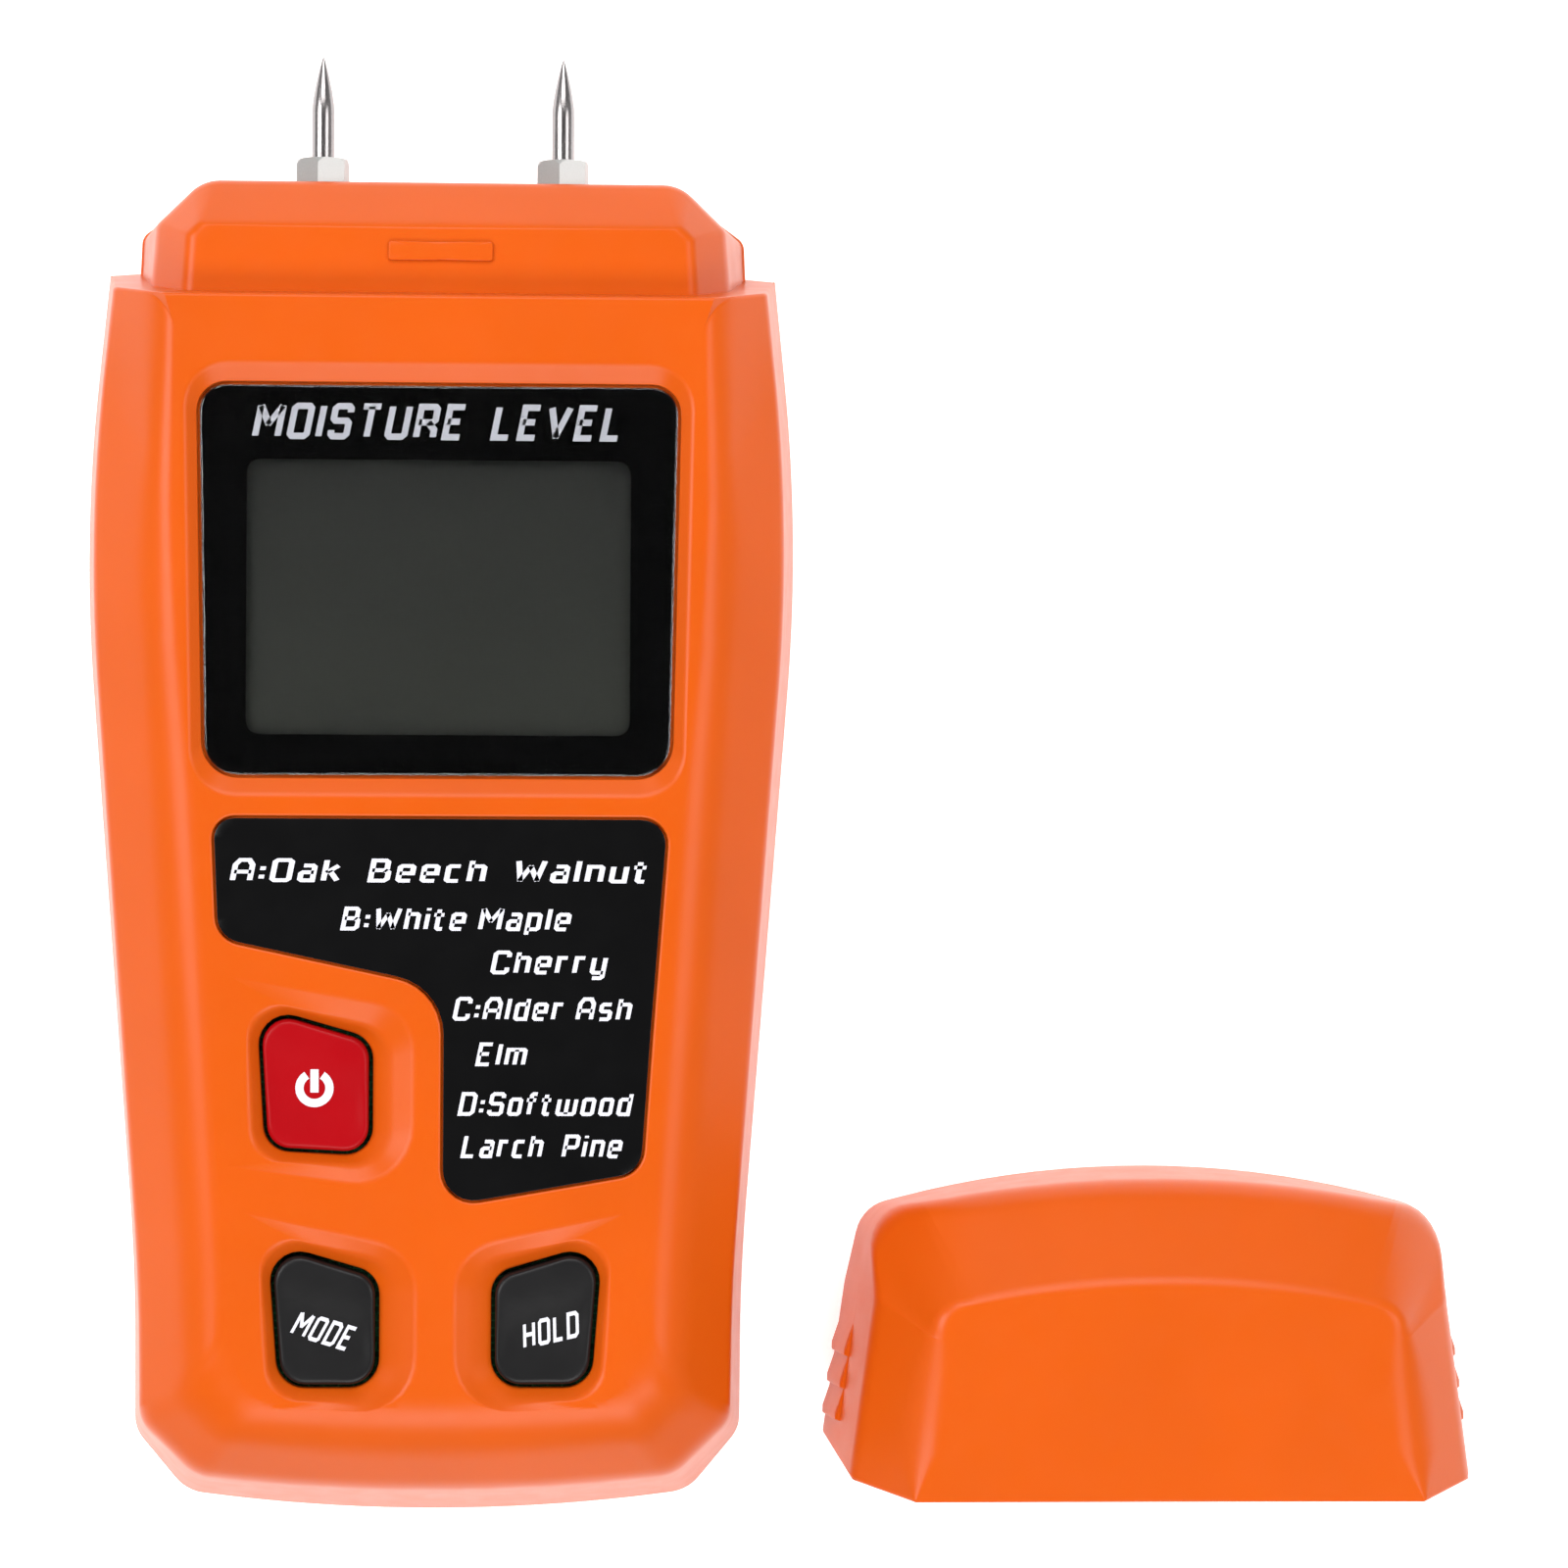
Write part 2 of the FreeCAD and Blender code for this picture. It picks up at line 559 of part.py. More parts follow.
def board_components():
    """Chip resistors and capacitors, one electrolytic can and a crystal, under the board."""
    top_z = BOARD_Z[0]
    pieces = []
    for x, y in ((-15, 30), (-15, 26.5), (-15, 23), (10, 30), (10, 26.5), (10, 23), (-8, 12),
                 (-5, 12), (6, 12), (9, 12), (-16, 38), (16, 38)):
        pieces.append(block((x - 1.0, x + 1.0), (y - 0.6, y + 0.6), (top_z - 0.7, top_z)))
    pieces.append(rod_z(16.0, 27.0, 3.1, (top_z - 6.5, top_z)))
    crystal = [(-1.2, 17.2, 1.1), (-1.2, 12.4, 1.1), (1.2, 12.4, 1.1), (1.2, 17.2, 1.1)]
    pieces.append(plate(crystal, (top_z - 3.4, top_z)))
    return group(pieces)


def board_screws():
    return group([screw(x, y, BOARD_SCREW_RADIUS, 1.7, (BOARD_Z[0] - 1.3, BOARD_Z[0]),
                        BOARD_SCREW_TIP_Z) for x, y in each_side(BOARD_SCREWS)])


def housing_screws():
    return group([screw(x, y, HOUSING_SCREW_RADIUS, HOUSING_HEAD_RADIUS, HOUSING_HEAD_Z,
                        HOUSING_SCREW_TIP_Z) for x, y in each_side(HOUSING_SCREWS)])


# ---- battery -----------------------------------------------------------------------------
def battery_middle_z():
    return (BATTERY_Z[0] + BATTERY_Z[1]) / 2


def battery():
    can = block((-BATTERY_HALF, BATTERY_HALF), BATTERY_Y, BATTERY_Z)
    long_edges = [edge for edge in can.Edges if edge.BoundBox.YLength > 40]
    can = can.makeFillet(2.0, long_edges)
    posts = []
    for x, radius in ((-TERMINAL_X, TERMINAL_RADII[0]), (TERMINAL_X, TERMINAL_RADII[1])):
        posts.append(rod_y(x, battery_middle_z(), radius,
                           (BATTERY_Y[1] - 0.5, BATTERY_Y[1] + TERMINAL_LENGTH)))
    return joined([can] + posts)


def battery_snap():
    z = battery_middle_z()
    foot_y = BATTERY_Y[1] + 0.1
    body = block((-SNAP_HALF, SNAP_HALF), (foot_y, foot_y + SNAP_THICKNESS),
                 (z - SNAP_HEIGHT / 2, z + SNAP_HEIGHT / 2))
    cross_edges = [edge for edge in body.Edges if edge.BoundBox.YLength > SNAP_THICKNESS - 0.1]
    body = body.makeFillet(3.0, cross_edges)
    pockets = []
    for x, radius in ((-TERMINAL_X, TERMINAL_RADII[0]), (TERMINAL_X, TERMINAL_RADII[1])):
        pockets.append(rod_y(x, z, radius + 0.1, (foot_y - 1, BATTERY_Y[1] + TERMINAL_LENGTH + 0.1)))
    return body.cut(pockets)


def bent_lead(x, start, corner, end, bend):
    """A round lead in a plane of constant X: two straight runs and the arc between them."""
    places = [point(x, y, z) for y, z in (start, corner, end)]
    first = (places[1] - places[0]).normalize()
    second = (places[2] - places[1]).normalize()
    half = first.getAngle(second) / 2
    arc_start = places[1] - first * (bend * math.tan(half))
    arc_end = places[1] + second * (bend * math.tan(half))
    inward = (second - first).normalize()
    arc_middle = places[1] + inward * (bend * (1 / math.cos(half) - 1))
    path = Part.Wire([Part.LineSegment(places[0], arc_start).toShape(),
                      Part.Arc(arc_start, arc_middle, arc_end).toShape(),
                      Part.LineSegment(arc_end, places[2]).toShape()])
    section = Part.Wire(Part.makeCircle(LEAD_RADIUS, places[0], first))
    tube = path.makePipeShell([section], True, False)
    expected = math.pi * LEAD_RADIUS ** 2 * path.Length
    print("lead", round(path.Length, 2), "bend", bend, "volume ratio", round(tube.Volume / expected, 4))
    return tube


def battery_lead(x):
    start_y = BATTERY_Y[1] + 0.1 + SNAP_THICKNESS
    return bent_lead(x, (start_y, 14.0), (7.0, 14.0), (7.0, BOARD_Z[0]), 4.5)


# ---- right-hand pin and its connection, mirrored for the left -----------------------------
def electrode_pin():
    thread = rod_y(PIN_X, PIN_Z, PIN_THREAD_RADIUS, (PIN_ROOT_Y, HEAD_TOP_Y + NUT_HEIGHT))
    shank = rod_y(PIN_X, PIN_Z, PIN_RADIUS, (HEAD_TOP_Y + NUT_HEIGHT, PIN_SHANK_Y))
    profile = [(0, PIN_SHANK_Y), (PIN_RADIUS, PIN_SHANK_Y), (0.75, PIN_SHANK_Y + 1.9),
               (0.12, PIN_TIP_Y), (0, PIN_TIP_Y)]
    corners = [point(PIN_X + x, y, PIN_Z) for x, y in profile]
    flank = Part.Arc(corners[1], corners[2], corners[3]).toShape()
    sides = [Part.LineSegment(corners[0], corners[1]).toShape(), flank,
             Part.LineSegment(corners[3], corners[4]).toShape(),
             Part.LineSegment(corners[4], corners[0]).toShape()]
    tip = Part.Face(Part.Wire(sides)).revolve(corners[0], point(0, 1, 0), 360)
    return joined([thread, shank, tip])


def pin_nut():
    nut = hexagon_y(PIN_X, PIN_Z, NUT_FLATS, (HEAD_TOP_Y, HEAD_TOP_Y + NUT_HEIGHT), NUT_TURN)
    return nut.cut(rod_y(PIN_X, PIN_Z, PIN_THREAD_RADIUS, (60, FAR)))


def inner_wall_y():
    return HEAD_TOP_Y - HEAD_WALL


def terminal_lug():
    y = (inner_wall_y() - LUG_THICKNESS, inner_wall_y())
    ring = rod_y(PIN_X, PIN_Z, LUG_RADIUS, y)
    tail = block((PIN_X - 7.2, PIN_X), y, (PIN_Z - 1.3, PIN_Z + 1.3))
    return joined([ring, tail]).cut(rod_y(PIN_X, PIN_Z, PIN_THREAD_RADIUS, (60, FAR)))


def pin_lock_nut():
    top_y = inner_wall_y() - LUG_THICKNESS
    nut = hexagon_y(PIN_X, PIN_Z, NUT_FLATS, (top_y - LOCK_NUT_HEIGHT, top_y), 0)
    return nut.cut(rod_y(PIN_X, PIN_Z, PIN_THREAD_RADIUS, (50, FAR)))


def electrode_lead():
    start = (inner_wall_y() - LUG_THICKNESS, PIN_Z)
    return bent_lead(PIN_X - 5.8, start, (44.0, PIN_Z), (44.0, BOARD_Z[0]), 5.0)


# ---- the whole assembly --------------------------------------------------------------------
def assembly():
    shell = housing_outside().cut(housing_inside())
    nodes = {
        "front_shell": front_shell(shell),
        "rear_shell": rear_shell(shell),
        "battery_door": battery_door(shell),
        "cap_shell": cap_shell(),
        "display_window": display_window(),
        "species_label": species_label(),
        "lcd_glass": lcd_glass(),
        "lcd_frame": lcd_frame(),
        "zebra_strips": zebra_strips(),
        "power_button": key(POWER_KEY, POWER_CENTRE),
        "mode_button": key(MODE_KEY, MODE_CENTRE),
        "hold_button": mirrored(key(MODE_KEY, MODE_CENTRE)),
        "power_switch_plunger": plunger(POWER_CENTRE),
        "mode_switch_plunger": plunger(MODE_CENTRE),
        "hold_switch_plunger": mirrored(plunger(MODE_CENTRE)),
        "switch_bodies": switch_bodies(),
        "main_board": main_board(),
        "microcontroller": microcontroller(),
        "board_components": board_components(),
        "board_screws": board_screws(),
        "housing_screws": housing_screws(),
        "battery": battery(),
        "battery_snap": battery_snap(),
        "battery_lead_positive": battery_lead(4.5),
        "battery_lead_negative": battery_lead(-4.5),
    }
    pin_group = {"electrode_pin": electrode_pin(), "pin_nut": pin_nut(),
                 "pin_lock_nut": pin_lock_nut(), "terminal_lug": terminal_lug(),
                 "electrode_lead": electrode_lead()}
    for name, shape in pin_group.items():
        nodes[name + "_right"] = shape
        nodes[name + "_left"] = mirrored(shape)
    return nodes


os.makedirs("parts", exist_ok=True)
for node, shape in assembly().items():
    shape.exportStep("parts/" + node + ".step")
    box = shape.BoundBox
    print(node, len(shape.Solids), shape.isValid(), round(shape.Volume, 1),
          [round(v, 2) for v in (box.XMin, box.XMax, box.YMin, box.YMax, box.ZMin, box.ZMax)])
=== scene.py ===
import json
import math

import bmesh
import bpy
from mathutils import Matrix, Vector
from mathutils.bvhtree import BVHTree


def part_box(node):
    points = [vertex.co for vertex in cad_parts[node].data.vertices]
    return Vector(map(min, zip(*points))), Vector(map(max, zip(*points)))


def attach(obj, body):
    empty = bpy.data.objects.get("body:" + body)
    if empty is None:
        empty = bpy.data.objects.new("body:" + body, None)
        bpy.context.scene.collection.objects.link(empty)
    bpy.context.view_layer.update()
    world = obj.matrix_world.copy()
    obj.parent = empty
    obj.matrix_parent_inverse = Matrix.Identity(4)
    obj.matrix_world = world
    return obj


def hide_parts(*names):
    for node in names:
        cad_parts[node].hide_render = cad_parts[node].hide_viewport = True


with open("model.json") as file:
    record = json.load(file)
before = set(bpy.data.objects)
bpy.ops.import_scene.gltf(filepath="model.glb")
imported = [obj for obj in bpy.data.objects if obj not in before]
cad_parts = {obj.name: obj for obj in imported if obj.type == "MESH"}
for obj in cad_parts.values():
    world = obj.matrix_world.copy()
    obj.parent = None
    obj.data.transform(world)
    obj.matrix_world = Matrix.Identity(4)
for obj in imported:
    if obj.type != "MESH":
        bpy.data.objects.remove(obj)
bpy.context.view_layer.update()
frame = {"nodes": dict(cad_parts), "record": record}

# A two-pin wood moisture meter and its pin cap, lying on their backs.
# Meshes are made in millimetres and turned into metres when they are finished.
# An outline is a list of corners (x, y, radius), clockwise seen from above.

MM = 0.001

# ---- places, from the frame ----------------------------------------
FRONT_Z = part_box("front_shell")[1].z / MM
PARTING_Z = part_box("front_shell")[0].z / MM
WINDOW_LOW_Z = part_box("display_window")[0].z / MM
WINDOW_TOP_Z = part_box("display_window")[1].z / MM
LABEL_LOW_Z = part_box("species_label")[0].z / MM
LABEL_TOP_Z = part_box("species_label")[1].z / MM
KEY_TOP_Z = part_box("power_button")[1].z / MM
HEAD_TOP_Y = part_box("front_shell")[1].y / MM
PIN_X = (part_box("electrode_pin_right")[0].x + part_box("electrode_pin_right")[1].x) / 2 / MM
PIN_Z = (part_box("electrode_pin_right")[0].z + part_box("electrode_pin_right")[1].z) / 2 / MM
CAP_X = (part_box("cap_shell")[0].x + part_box("cap_shell")[1].x) / 2 / MM
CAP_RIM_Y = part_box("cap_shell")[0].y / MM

BEVEL_Z = 21.5
FRONT_INSIDE_Z = 25.4
REAR_INSIDE_Z = 2.0

# ---- housing outlines ----------------------------------------------
SHOULDER_Y = 57.0
SHOULDER_SLANT = 0.183
BODY_FRONT = [(26.0, 68.0, 0), (26.7, 33.0, 173), (22.25, -37.0, 200), (22.1, -46.6, 3.5),
              (18.4, -49.8, 4.3), (0, -51.4, 180)]
BODY_BEVEL = [(30.3, 68.0, 0), (33.75, 35.2, 173), (28.45, -37.4, 200), (28.3, -50.3, 3.5),
              (22.9, -55.5, 4.3), (0, -58.0, 190)]
BODY_PARTING = [(32.15, 68.0, 0), (35.5, 35.2, 173), (29.95, -37.4, 200), (29.9, -53.1, 3.5),
                (24.8, -59.25, 4.3), (0, -62.5, 175)]
BODY_BACK = [(26.2, 68.0, 0), (29.5, 35.2, 173), (23.95, -37.4, 200), (23.9, -49.0, 3.5),
             (20.0, -53.8, 4.3), (0, -56.6, 120)]

HEAD_FRONT_Z = 25.0
HEAD_BEVEL_Z = 20.0
HEAD_BACK_Z = 2.3
HEAD_ROOT_Y = 50.0
HEAD_FRONT = [(24.7, HEAD_ROOT_Y, 0), (23.9, 62.9, 0.8), (22.9, 63.9, 0.8)]
HEAD_BEVEL = [(28.5, HEAD_ROOT_Y, 0), (27.3, 64.4, 1.2), (22.9, HEAD_TOP_Y, 4.0)]
HEAD_PARTING = [(30.2, HEAD_ROOT_Y, 0), (29.55, 64.6, 1.2), (23.9, HEAD_TOP_Y, 4.0)]
HEAD_BACK = [(24.9, HEAD_ROOT_Y, 0), (24.4, 62.5, 1.2), (20.5, 66.2, 1.2)]
CATCH = [(5.0, 62.4, 0.25), (5.0, 60.6, 0.25)]
CATCH_HEIGHT = 0.4

# ---- cap outlines, where it sits on the head -----------------------
CAP_RIM_GAP = 0.15
CAP_WALL = 1.6
CAP_FACE_WALL = 1.8
CAP_FRONT = [(25.4, 50.0, 0), (22.55, 72.6, 12), (22.1, 75.6, 3.0), (0, 79.9, 97)]
CAP_BEVEL = [(31.2, 50.0, 0), (27.7, 76.0, 10), (28.2, 84.0, 5), (0, 89.5, 120)]
CAP_PARTING = [(33.6, 50.0, 0), (29.9, 76.0, 8), (28.2, 83.4, 4.0), (0, 90.9, 95)]
CAP_BACK = [(27.5, 50.0, 0), (24.0, 74.5, 8), (22.5, 80.0, 3), (0, 84.6, 95)]
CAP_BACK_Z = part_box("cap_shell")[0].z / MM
CAP_CORNER = Vector((27.7, 76.0, 21.5))
CAP_CORNER_FACING = Vector((51.8, 32.8, 46.6)).normalized()
CAP_CORNER_WALL = 2.0

# ---- display, label and keys ---------------------------------------
WINDOW = [(22.8, 48.6, 2.6), (22.1, 11.45, 3.3)]
RECESS = [(24.1, 50.65, 4.2), (23.3, 9.6, 4.2)]
VIEW = [(18.2, 41.5, 1.3), (18.2, 15.4, 1.3)]
OPENING = [(19.4, 42.9, 1.0), (19.4, 13.8, 1.0)]
LABEL = [(-21.1, 7.44, 1.9), (21.8, 7.44, 2.3), (20.3, -12.6, 40), (19.4, -25.95, 2.6),
         (0.7, -29.2, 2.9), (0.7, -8.4, 5.6), (-20.6, -3.85, 2.5)]
POWER_KEY = [(-16.65, -10.7, 2.4), (-6.4, -13.75, 2.2), (-6.4, -24.2, 2.2), (-15.85, -23.7, 2.2)]
POWER_RING = [(-17.9, -9.4, 3.2), (-4.35, -12.8, 3.4), (-4.35, -25.6, 3.4), (-17.3, -24.9, 3.2)]
POWER_DISH = [(-20.5, -7.3, 1.0), (-2.15, -10.6, 4.6), (-2.15, -27.9, 5.6), (-20.5, -25.4, 1.0)]
MODE_KEY = [(-15.5, -33.1, 2.4), (-5.7, -36.1, 2.2), (-5.7, -46.2, 2.4), (-14.5, -46.2, 2.4)]
MODE_RING = [(-16.7, -31.5, 3.2), (-3.5, -34.9, 3.4), (-3.5, -47.9, 3.6), (-15.7, -47.6, 3.4)]
MODE_DISH = [(-19.0, -29.6, 1.0), (-1.8, -33.4, 5.0), (-1.8, -49.2, 5.6), (-19.0, -48.4, 1.0)]
DISH_RIM_DEPTH = 0.03
DISH_DEPTH = 0.95
FUNNEL_DEPTH = 1.25

# ---- edges, walls and gaps -----------------------------------------
FACE_SHARE = 0.8            # the innermost ring of a flat face, as a share of the face
SEAM_BREAK = 0.22           # how far the edges at the parting line are broken
SHOULDER_CORNER = 0.4
CAP_RIM_CORNER = 0.3
CRISP_EDGE = 0.35           # the front edge at the shoulder
FRONT_EDGE = 3.4
NEAR_FRONT_EDGE = 4.2       # the front edge at the near end
NEAR_FRONT_Y = -45.0
SIDE_EDGE = 0.7
NEAR_SIDE_EDGE = 1.5
NEAR_SIDE_Y = -49.0
HEAD_EDGE = 0.9
CATCH_EDGE = 0.25
CAP_BACK_EDGE = 1.2
CAP_SIDE_EDGE = 0.8
# rounding beside and beyond the cap's corners, and the two heights between which it changes
CAP_BEVEL_EDGE = (1.3, 2.4, 79.0, 85.0)
CAP_FRONT_EDGE = (3.2, 1.0, 66.0, 76.0)
SHELL_WALL = 2.2
WINDOW_GAP = 0.18
WINDOW_INSET = 0.12
PRINT_TOP = 0.22            # the black print's upper face, above the window's underside
LABEL_GAP = 0.22
KEY_GAP = 0.38
PIN_HOLE = [(1.05, 60.0), (1.05, 75.0)]
ABOVE = 2.0                 # how far a cutter stands out of the front


# ==== mesh tools ====================================================
RUN_STEPS = 4
ARC_STEPS = 7
LONG_ARC_STEPS = 18
LONG_RADIUS = 20


def both_sides(right_side):
    """Corners of a symmetric outline from those of its right side, top to bottom."""
    left_side = [(-x, y, radius) for x, y, radius in reversed(right_side) if x > 0]
    return right_side + left_side


def ended_at(right_side, y, corner_radius):
    """A right side whose open end is closed at y."""
    (x0, y0, _), (x1, y1, _) = right_side[:2]
    x = x0 + (x1 - x0) * (y - y0) / (y1 - y0)
    return [(x, y, corner_radius)] + right_side[1:]


def tangent_lengths(corners, turns):
    """How far each corner's arc reaches along its runs, cut back where two would meet."""
    count = len(corners)
    reach = [corners[i][2] * math.tan(turns[i] / 2) for i in range(count)]
    for i in range(count):
        j = (i + 1) % count
        run = math.dist(corners[i][:2], corners[j][:2])
        spare = run * 0.98 - reach[i] - reach[j]
        if spare < 0:
            longer = i if reach[i] > reach[j] else j
            reach[longer] += spare
    return reach


def outline(corners, z):
    """Points round a closed outline: evenly spaced on its runs and on its corners' arcs."""
    count = len(corners)
    places = [Vector((x, y)) for x, y, _ in corners]
    runs = [(places[(i + 1) % count] - places[i]).normalized() for i in range(count)]
    turns = [runs[i - 1].angle(runs[i]) for i in range(count)]
    reach = tangent_lengths(corners, turns)
    points = []
    for i in range(count):
        j = (i + 1) % count
        start = places[i] + runs[i] * reach[i]
        end = places[j] - runs[i] * reach[j]
        points += [start.lerp(end, step / RUN_STEPS) for step in range(RUN_STEPS)]
        if corners[j][2] == 0:
            continue
        steps = LONG_ARC_STEPS if corners[j][2] > LONG_RADIUS else ARC_STEPS
        radius = reach[j] / math.tan(turns[j] / 2)
        inward = (runs[j] - runs[i]).normalized()
        centre = places[j] + inward * (radius / math.cos(turns[j] / 2))
        spoke = end - centre
        sense = math.copysign(1, runs[i].x * runs[j].y - runs[i].y * runs[j].x)
        for step in range(steps):
            turned = Matrix.Rotation(sense * turns[j] * step / steps, 2)
            points.append(centre + turned @ spoke)
    return [Vector((p.x, p.y, z)) for p in points]


def whole_ring(right_side, z):
    """Points round a symmetric outline, from the corners of its right side."""
    return outline(both_sides(right_side), z)


def grown(ring, distance):
    """A ring moved outwards in its plane; a negative distance shrinks it."""
    moved = []
    for i, place in enumerate(ring):
        along = ring[(i + 1) % len(ring)] - ring[i - 1]
        outward = Vector((-along.y, along.x, 0)).normalized()
        moved.append(place + outward * distance)
    return moved


def smooth(value, start, end):
    """0 up to start and 1 from end on, with an S curve in between."""
    t = min(1.0, max(0.0, (value - start) / (end - start)))
    return t * t * (3 - 2 * t)


def at_height(ring, z):
    return [Vector((p.x, p.y, z)) for p in ring]


def scaled(ring, factor, z):
    """A ring drawn in towards its own middle."""
    middle = sum(ring, Vector()) / len(ring)
    return [Vector((middle.x + (p.x - middle.x) * factor, middle.y + (p.y - middle.y) * factor, z))
            for p in ring]


def eased(before, corner, after, reach, steps):
    """Rings that round the edge at the ring corner, reach millimetres each way."""
    reaches = reach if isinstance(reach, list) else [reach] * len(corner)
    rings = []
    for step in range(steps + 1):
        t = step / steps
        ring = []
        for a, b, c, r in zip(before, corner, after, reaches):
            back = (a - b).normalized() * min(r, (a - b).length * 0.49)
            ahead = (c - b).normalized() * min(r, (c - b).length * 0.49)
            ring.append(b + back * (1 - t) ** 2 + ahead * t ** 2)
        rings.append(ring)
    return rings


def mesh_object(name, build):
    """An object, still in millimetres, from a function that fills a bmesh."""
    shape = bmesh.new()
    build(shape)
    bmesh.ops.recalc_face_normals(shape, faces=shape.faces)
    data = bpy.data.meshes.new(name)
    shape.to_mesh(data)
    shape.free()
    made = bpy.data.objects.new(name, data)
    bpy.context.scene.collection.objects.link(made)
    return made


def stepped(rings, longest=1.6):
    """The same rings with more between those that are far apart."""
    filled = [rings[0]]
    for lower, upper in zip(rings, rings[1:]):
        span = max((b - a).length for a, b in zip(lower, upper))
        steps = min(8, max(1, math.ceil(span / longest)))
        for step in range(1, steps + 1):
            filled.append([a.lerp(b, step / steps) for a, b in zip(lower, upper)])
    return filled


def loft(name, rings):
    """A closed solid through rings of equal length, capped at both ends."""
    def build(shape):
        rows = [[shape.verts.new(p) for p in ring] for ring in rings]
        count = len(rings[0])
        for lower, upper in zip(rows, rows[1:]):
            for i in range(count):
                j = (i + 1) % count
                shape.faces.new((lower[i], lower[j], upper[j], upper[i]))
        shape.faces.new(rows[0])
        shape.faces.new(rows[-1])
    return mesh_object(name, build)


def block(name, x, y, z):
    """A box from three (low, high) pairs."""
    corners = [(x[0], y[0]), (x[0], y[1]), (x[1], y[1]), (x[1], y[0])]
    return loft(name, [[Vector((a, b, height)) for a, b in corners] for height in z])


def turned_rod(name, x, z, profile, steps=40):
    """A solid turned about a line along Y, from (radius, y) pairs."""
    rings = []
    for radius, y in profile:
        ring = []
        for step in range(steps):
            angle = 2 * math.pi * step / steps
            ring.append(Vector((x + radius * math.cos(angle), y, z + radius * math.sin(angle))))
        rings.append(ring)
    return loft(name, rings)


def combined(target, others, operation):
    """Union, difference or intersection of target with each of the others, which are used up."""
    for other in others:
        change = target.modifiers.new("change", "BOOLEAN")
        change.operation = operation
        change.object = other
        change.solver = "EXACT"
        bpy.context.view_layer.update()
        graph = bpy.context.evaluated_depsgraph_get()
        data = bpy.data.meshes.new_from_object(target.evaluated_get(graph))
        target.modifiers.clear()
        target.data = data
        bpy.data.objects.remove(other)
    return target


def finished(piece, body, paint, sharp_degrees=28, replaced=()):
    """Turns a piece into metres, smooths it, paints it and lets it ride on its body."""
    data = piece.data
    shape = bmesh.new()
    shape.from_mesh(data)
    bmesh.ops.remove_doubles(shape, verts=shape.verts, dist=0.0005)
    bmesh.ops.dissolve_degenerate(shape, dist=0.0004, edges=shape.edges)
    shape.to_mesh(data)
    shape.free()
    data.transform(Matrix.Scale(MM, 4))
    data.polygons.foreach_set("use_smooth", [True] * len(data.polygons))
    data.set_sharp_from_angle(angle=math.radians(sharp_degrees))
    data.materials.clear()
    data.materials.append(paint)
    weighting = piece.modifiers.new("weighted_normals", "WEIGHTED_NORMAL")
    weighting.keep_sharp = True
    weighting.weight = 90
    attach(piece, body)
    if replaced:
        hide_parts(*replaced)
    return piece


# ==== materials =====================================================
CELL_LOW_Y = 13.0
CELL_TOP_Y = 43.0
BATTERY_LOW_Y = -53.0
BATTERY_TOP_Y = -4.5


class Paint:
    """A Principled material under construction, with coordinates in millimetres."""

    def __init__(self, name):
        self.material = bpy.data.materials.new(name)
        self.material.use_nodes = True
        self.tree = self.material.node_tree
        self.shader = self.tree.nodes["Principled BSDF"]
        place = self.add("ShaderNodeTexCoord")
        scale = self.add("ShaderNodeVectorMath")
        scale.operation = "SCALE"
        scale.inputs["Scale"].default_value = 1 / MM
        self.link(place.outputs["Object"], scale.inputs[0])
        self.place = scale.outputs[0]

    def add(self, kind):
        return self.tree.nodes.new(kind)

    def link(self, source, target):
        self.tree.links.new(source, target)

    def set(self, **values):
        for name, value in values.items():
            self.shader.inputs[name.replace("_", " ")].default_value = value

    def stretched(self, x, y, z):
        mapping = self.add("ShaderNodeMapping")
        mapping.inputs["Scale"].default_value = (x, y, z)
        self.link(self.place, mapping.inputs["Vector"])
        return mapping.outputs["Vector"]

    def noise(self, scale, detail=3.0, where=None):
        node = self.add("ShaderNodeTexNoise")
        node.inputs["Scale"].default_value = scale
        node.inputs["Detail"].default_value = detail
        self.link(where or self.place, node.inputs["Vector"])
        return node.outputs["Fac"]

    def ramp(self, source, stops):
        node = self.add("ShaderNodeValToRGB")
        elements = node.color_ramp.elements
        while len(elements) < len(stops):
            elements.new(0.5)
        for element, (position, colour) in zip(elements, stops):
            element.position = position
            element.color = (*colour, 1)
        self.link(source, node.inputs["Fac"])
        return node.outputs["Color"]

    def range(self, source, low, high):
        node = self.add("ShaderNodeMapRange")
        node.inputs["To Min"].default_value = low
        node.inputs["To Max"].default_value = high
        self.link(source, node.inputs["Value"])
        return node.outputs["Result"]

    def colour(self, source):
        self.link(source, self.shader.inputs["Base Color"])

    def roughness(self, source):
        self.link(source, self.shader.inputs["Roughness"])

    def bump(self, source, strength, distance):
        """A bump whose height difference is distance millimetres."""
        node = self.add("ShaderNodeBump")
        node.inputs["Strength"].default_value = strength
        node.inputs["Distance"].default_value = distance * MM
        self.link(source, node.inputs["Height"])
        self.link(node.outputs["Normal"], self.shader.inputs["Normal"])


def tinted(colour, factor):
    """A colour made lighter or darker."""
    return tuple(min(1.0, c * factor) for c in colour)


def moulded(name, colour, roughness, grain=4.0, grain_depth=0.012, shade=0.05, shine=0.35):
    """Moulded plastic or rubber: faint colour drift, uneven gloss and a fine spark texture."""
    paint = Paint(name)
    drift = paint.noise(0.06, 2.0)
    paint.colour(paint.ramp(drift, [(0.3, tinted(colour, 1 - shade)), (0.7, tinted(colour, 1 + shade))]))
    paint.roughness(paint.range(paint.noise(0.35), roughness - 0.05, roughness + 0.05))
    paint.bump(paint.noise(grain, 4.0), 0.35, grain_depth)
    paint.set(Specular_IOR_Level=shine)
    return paint


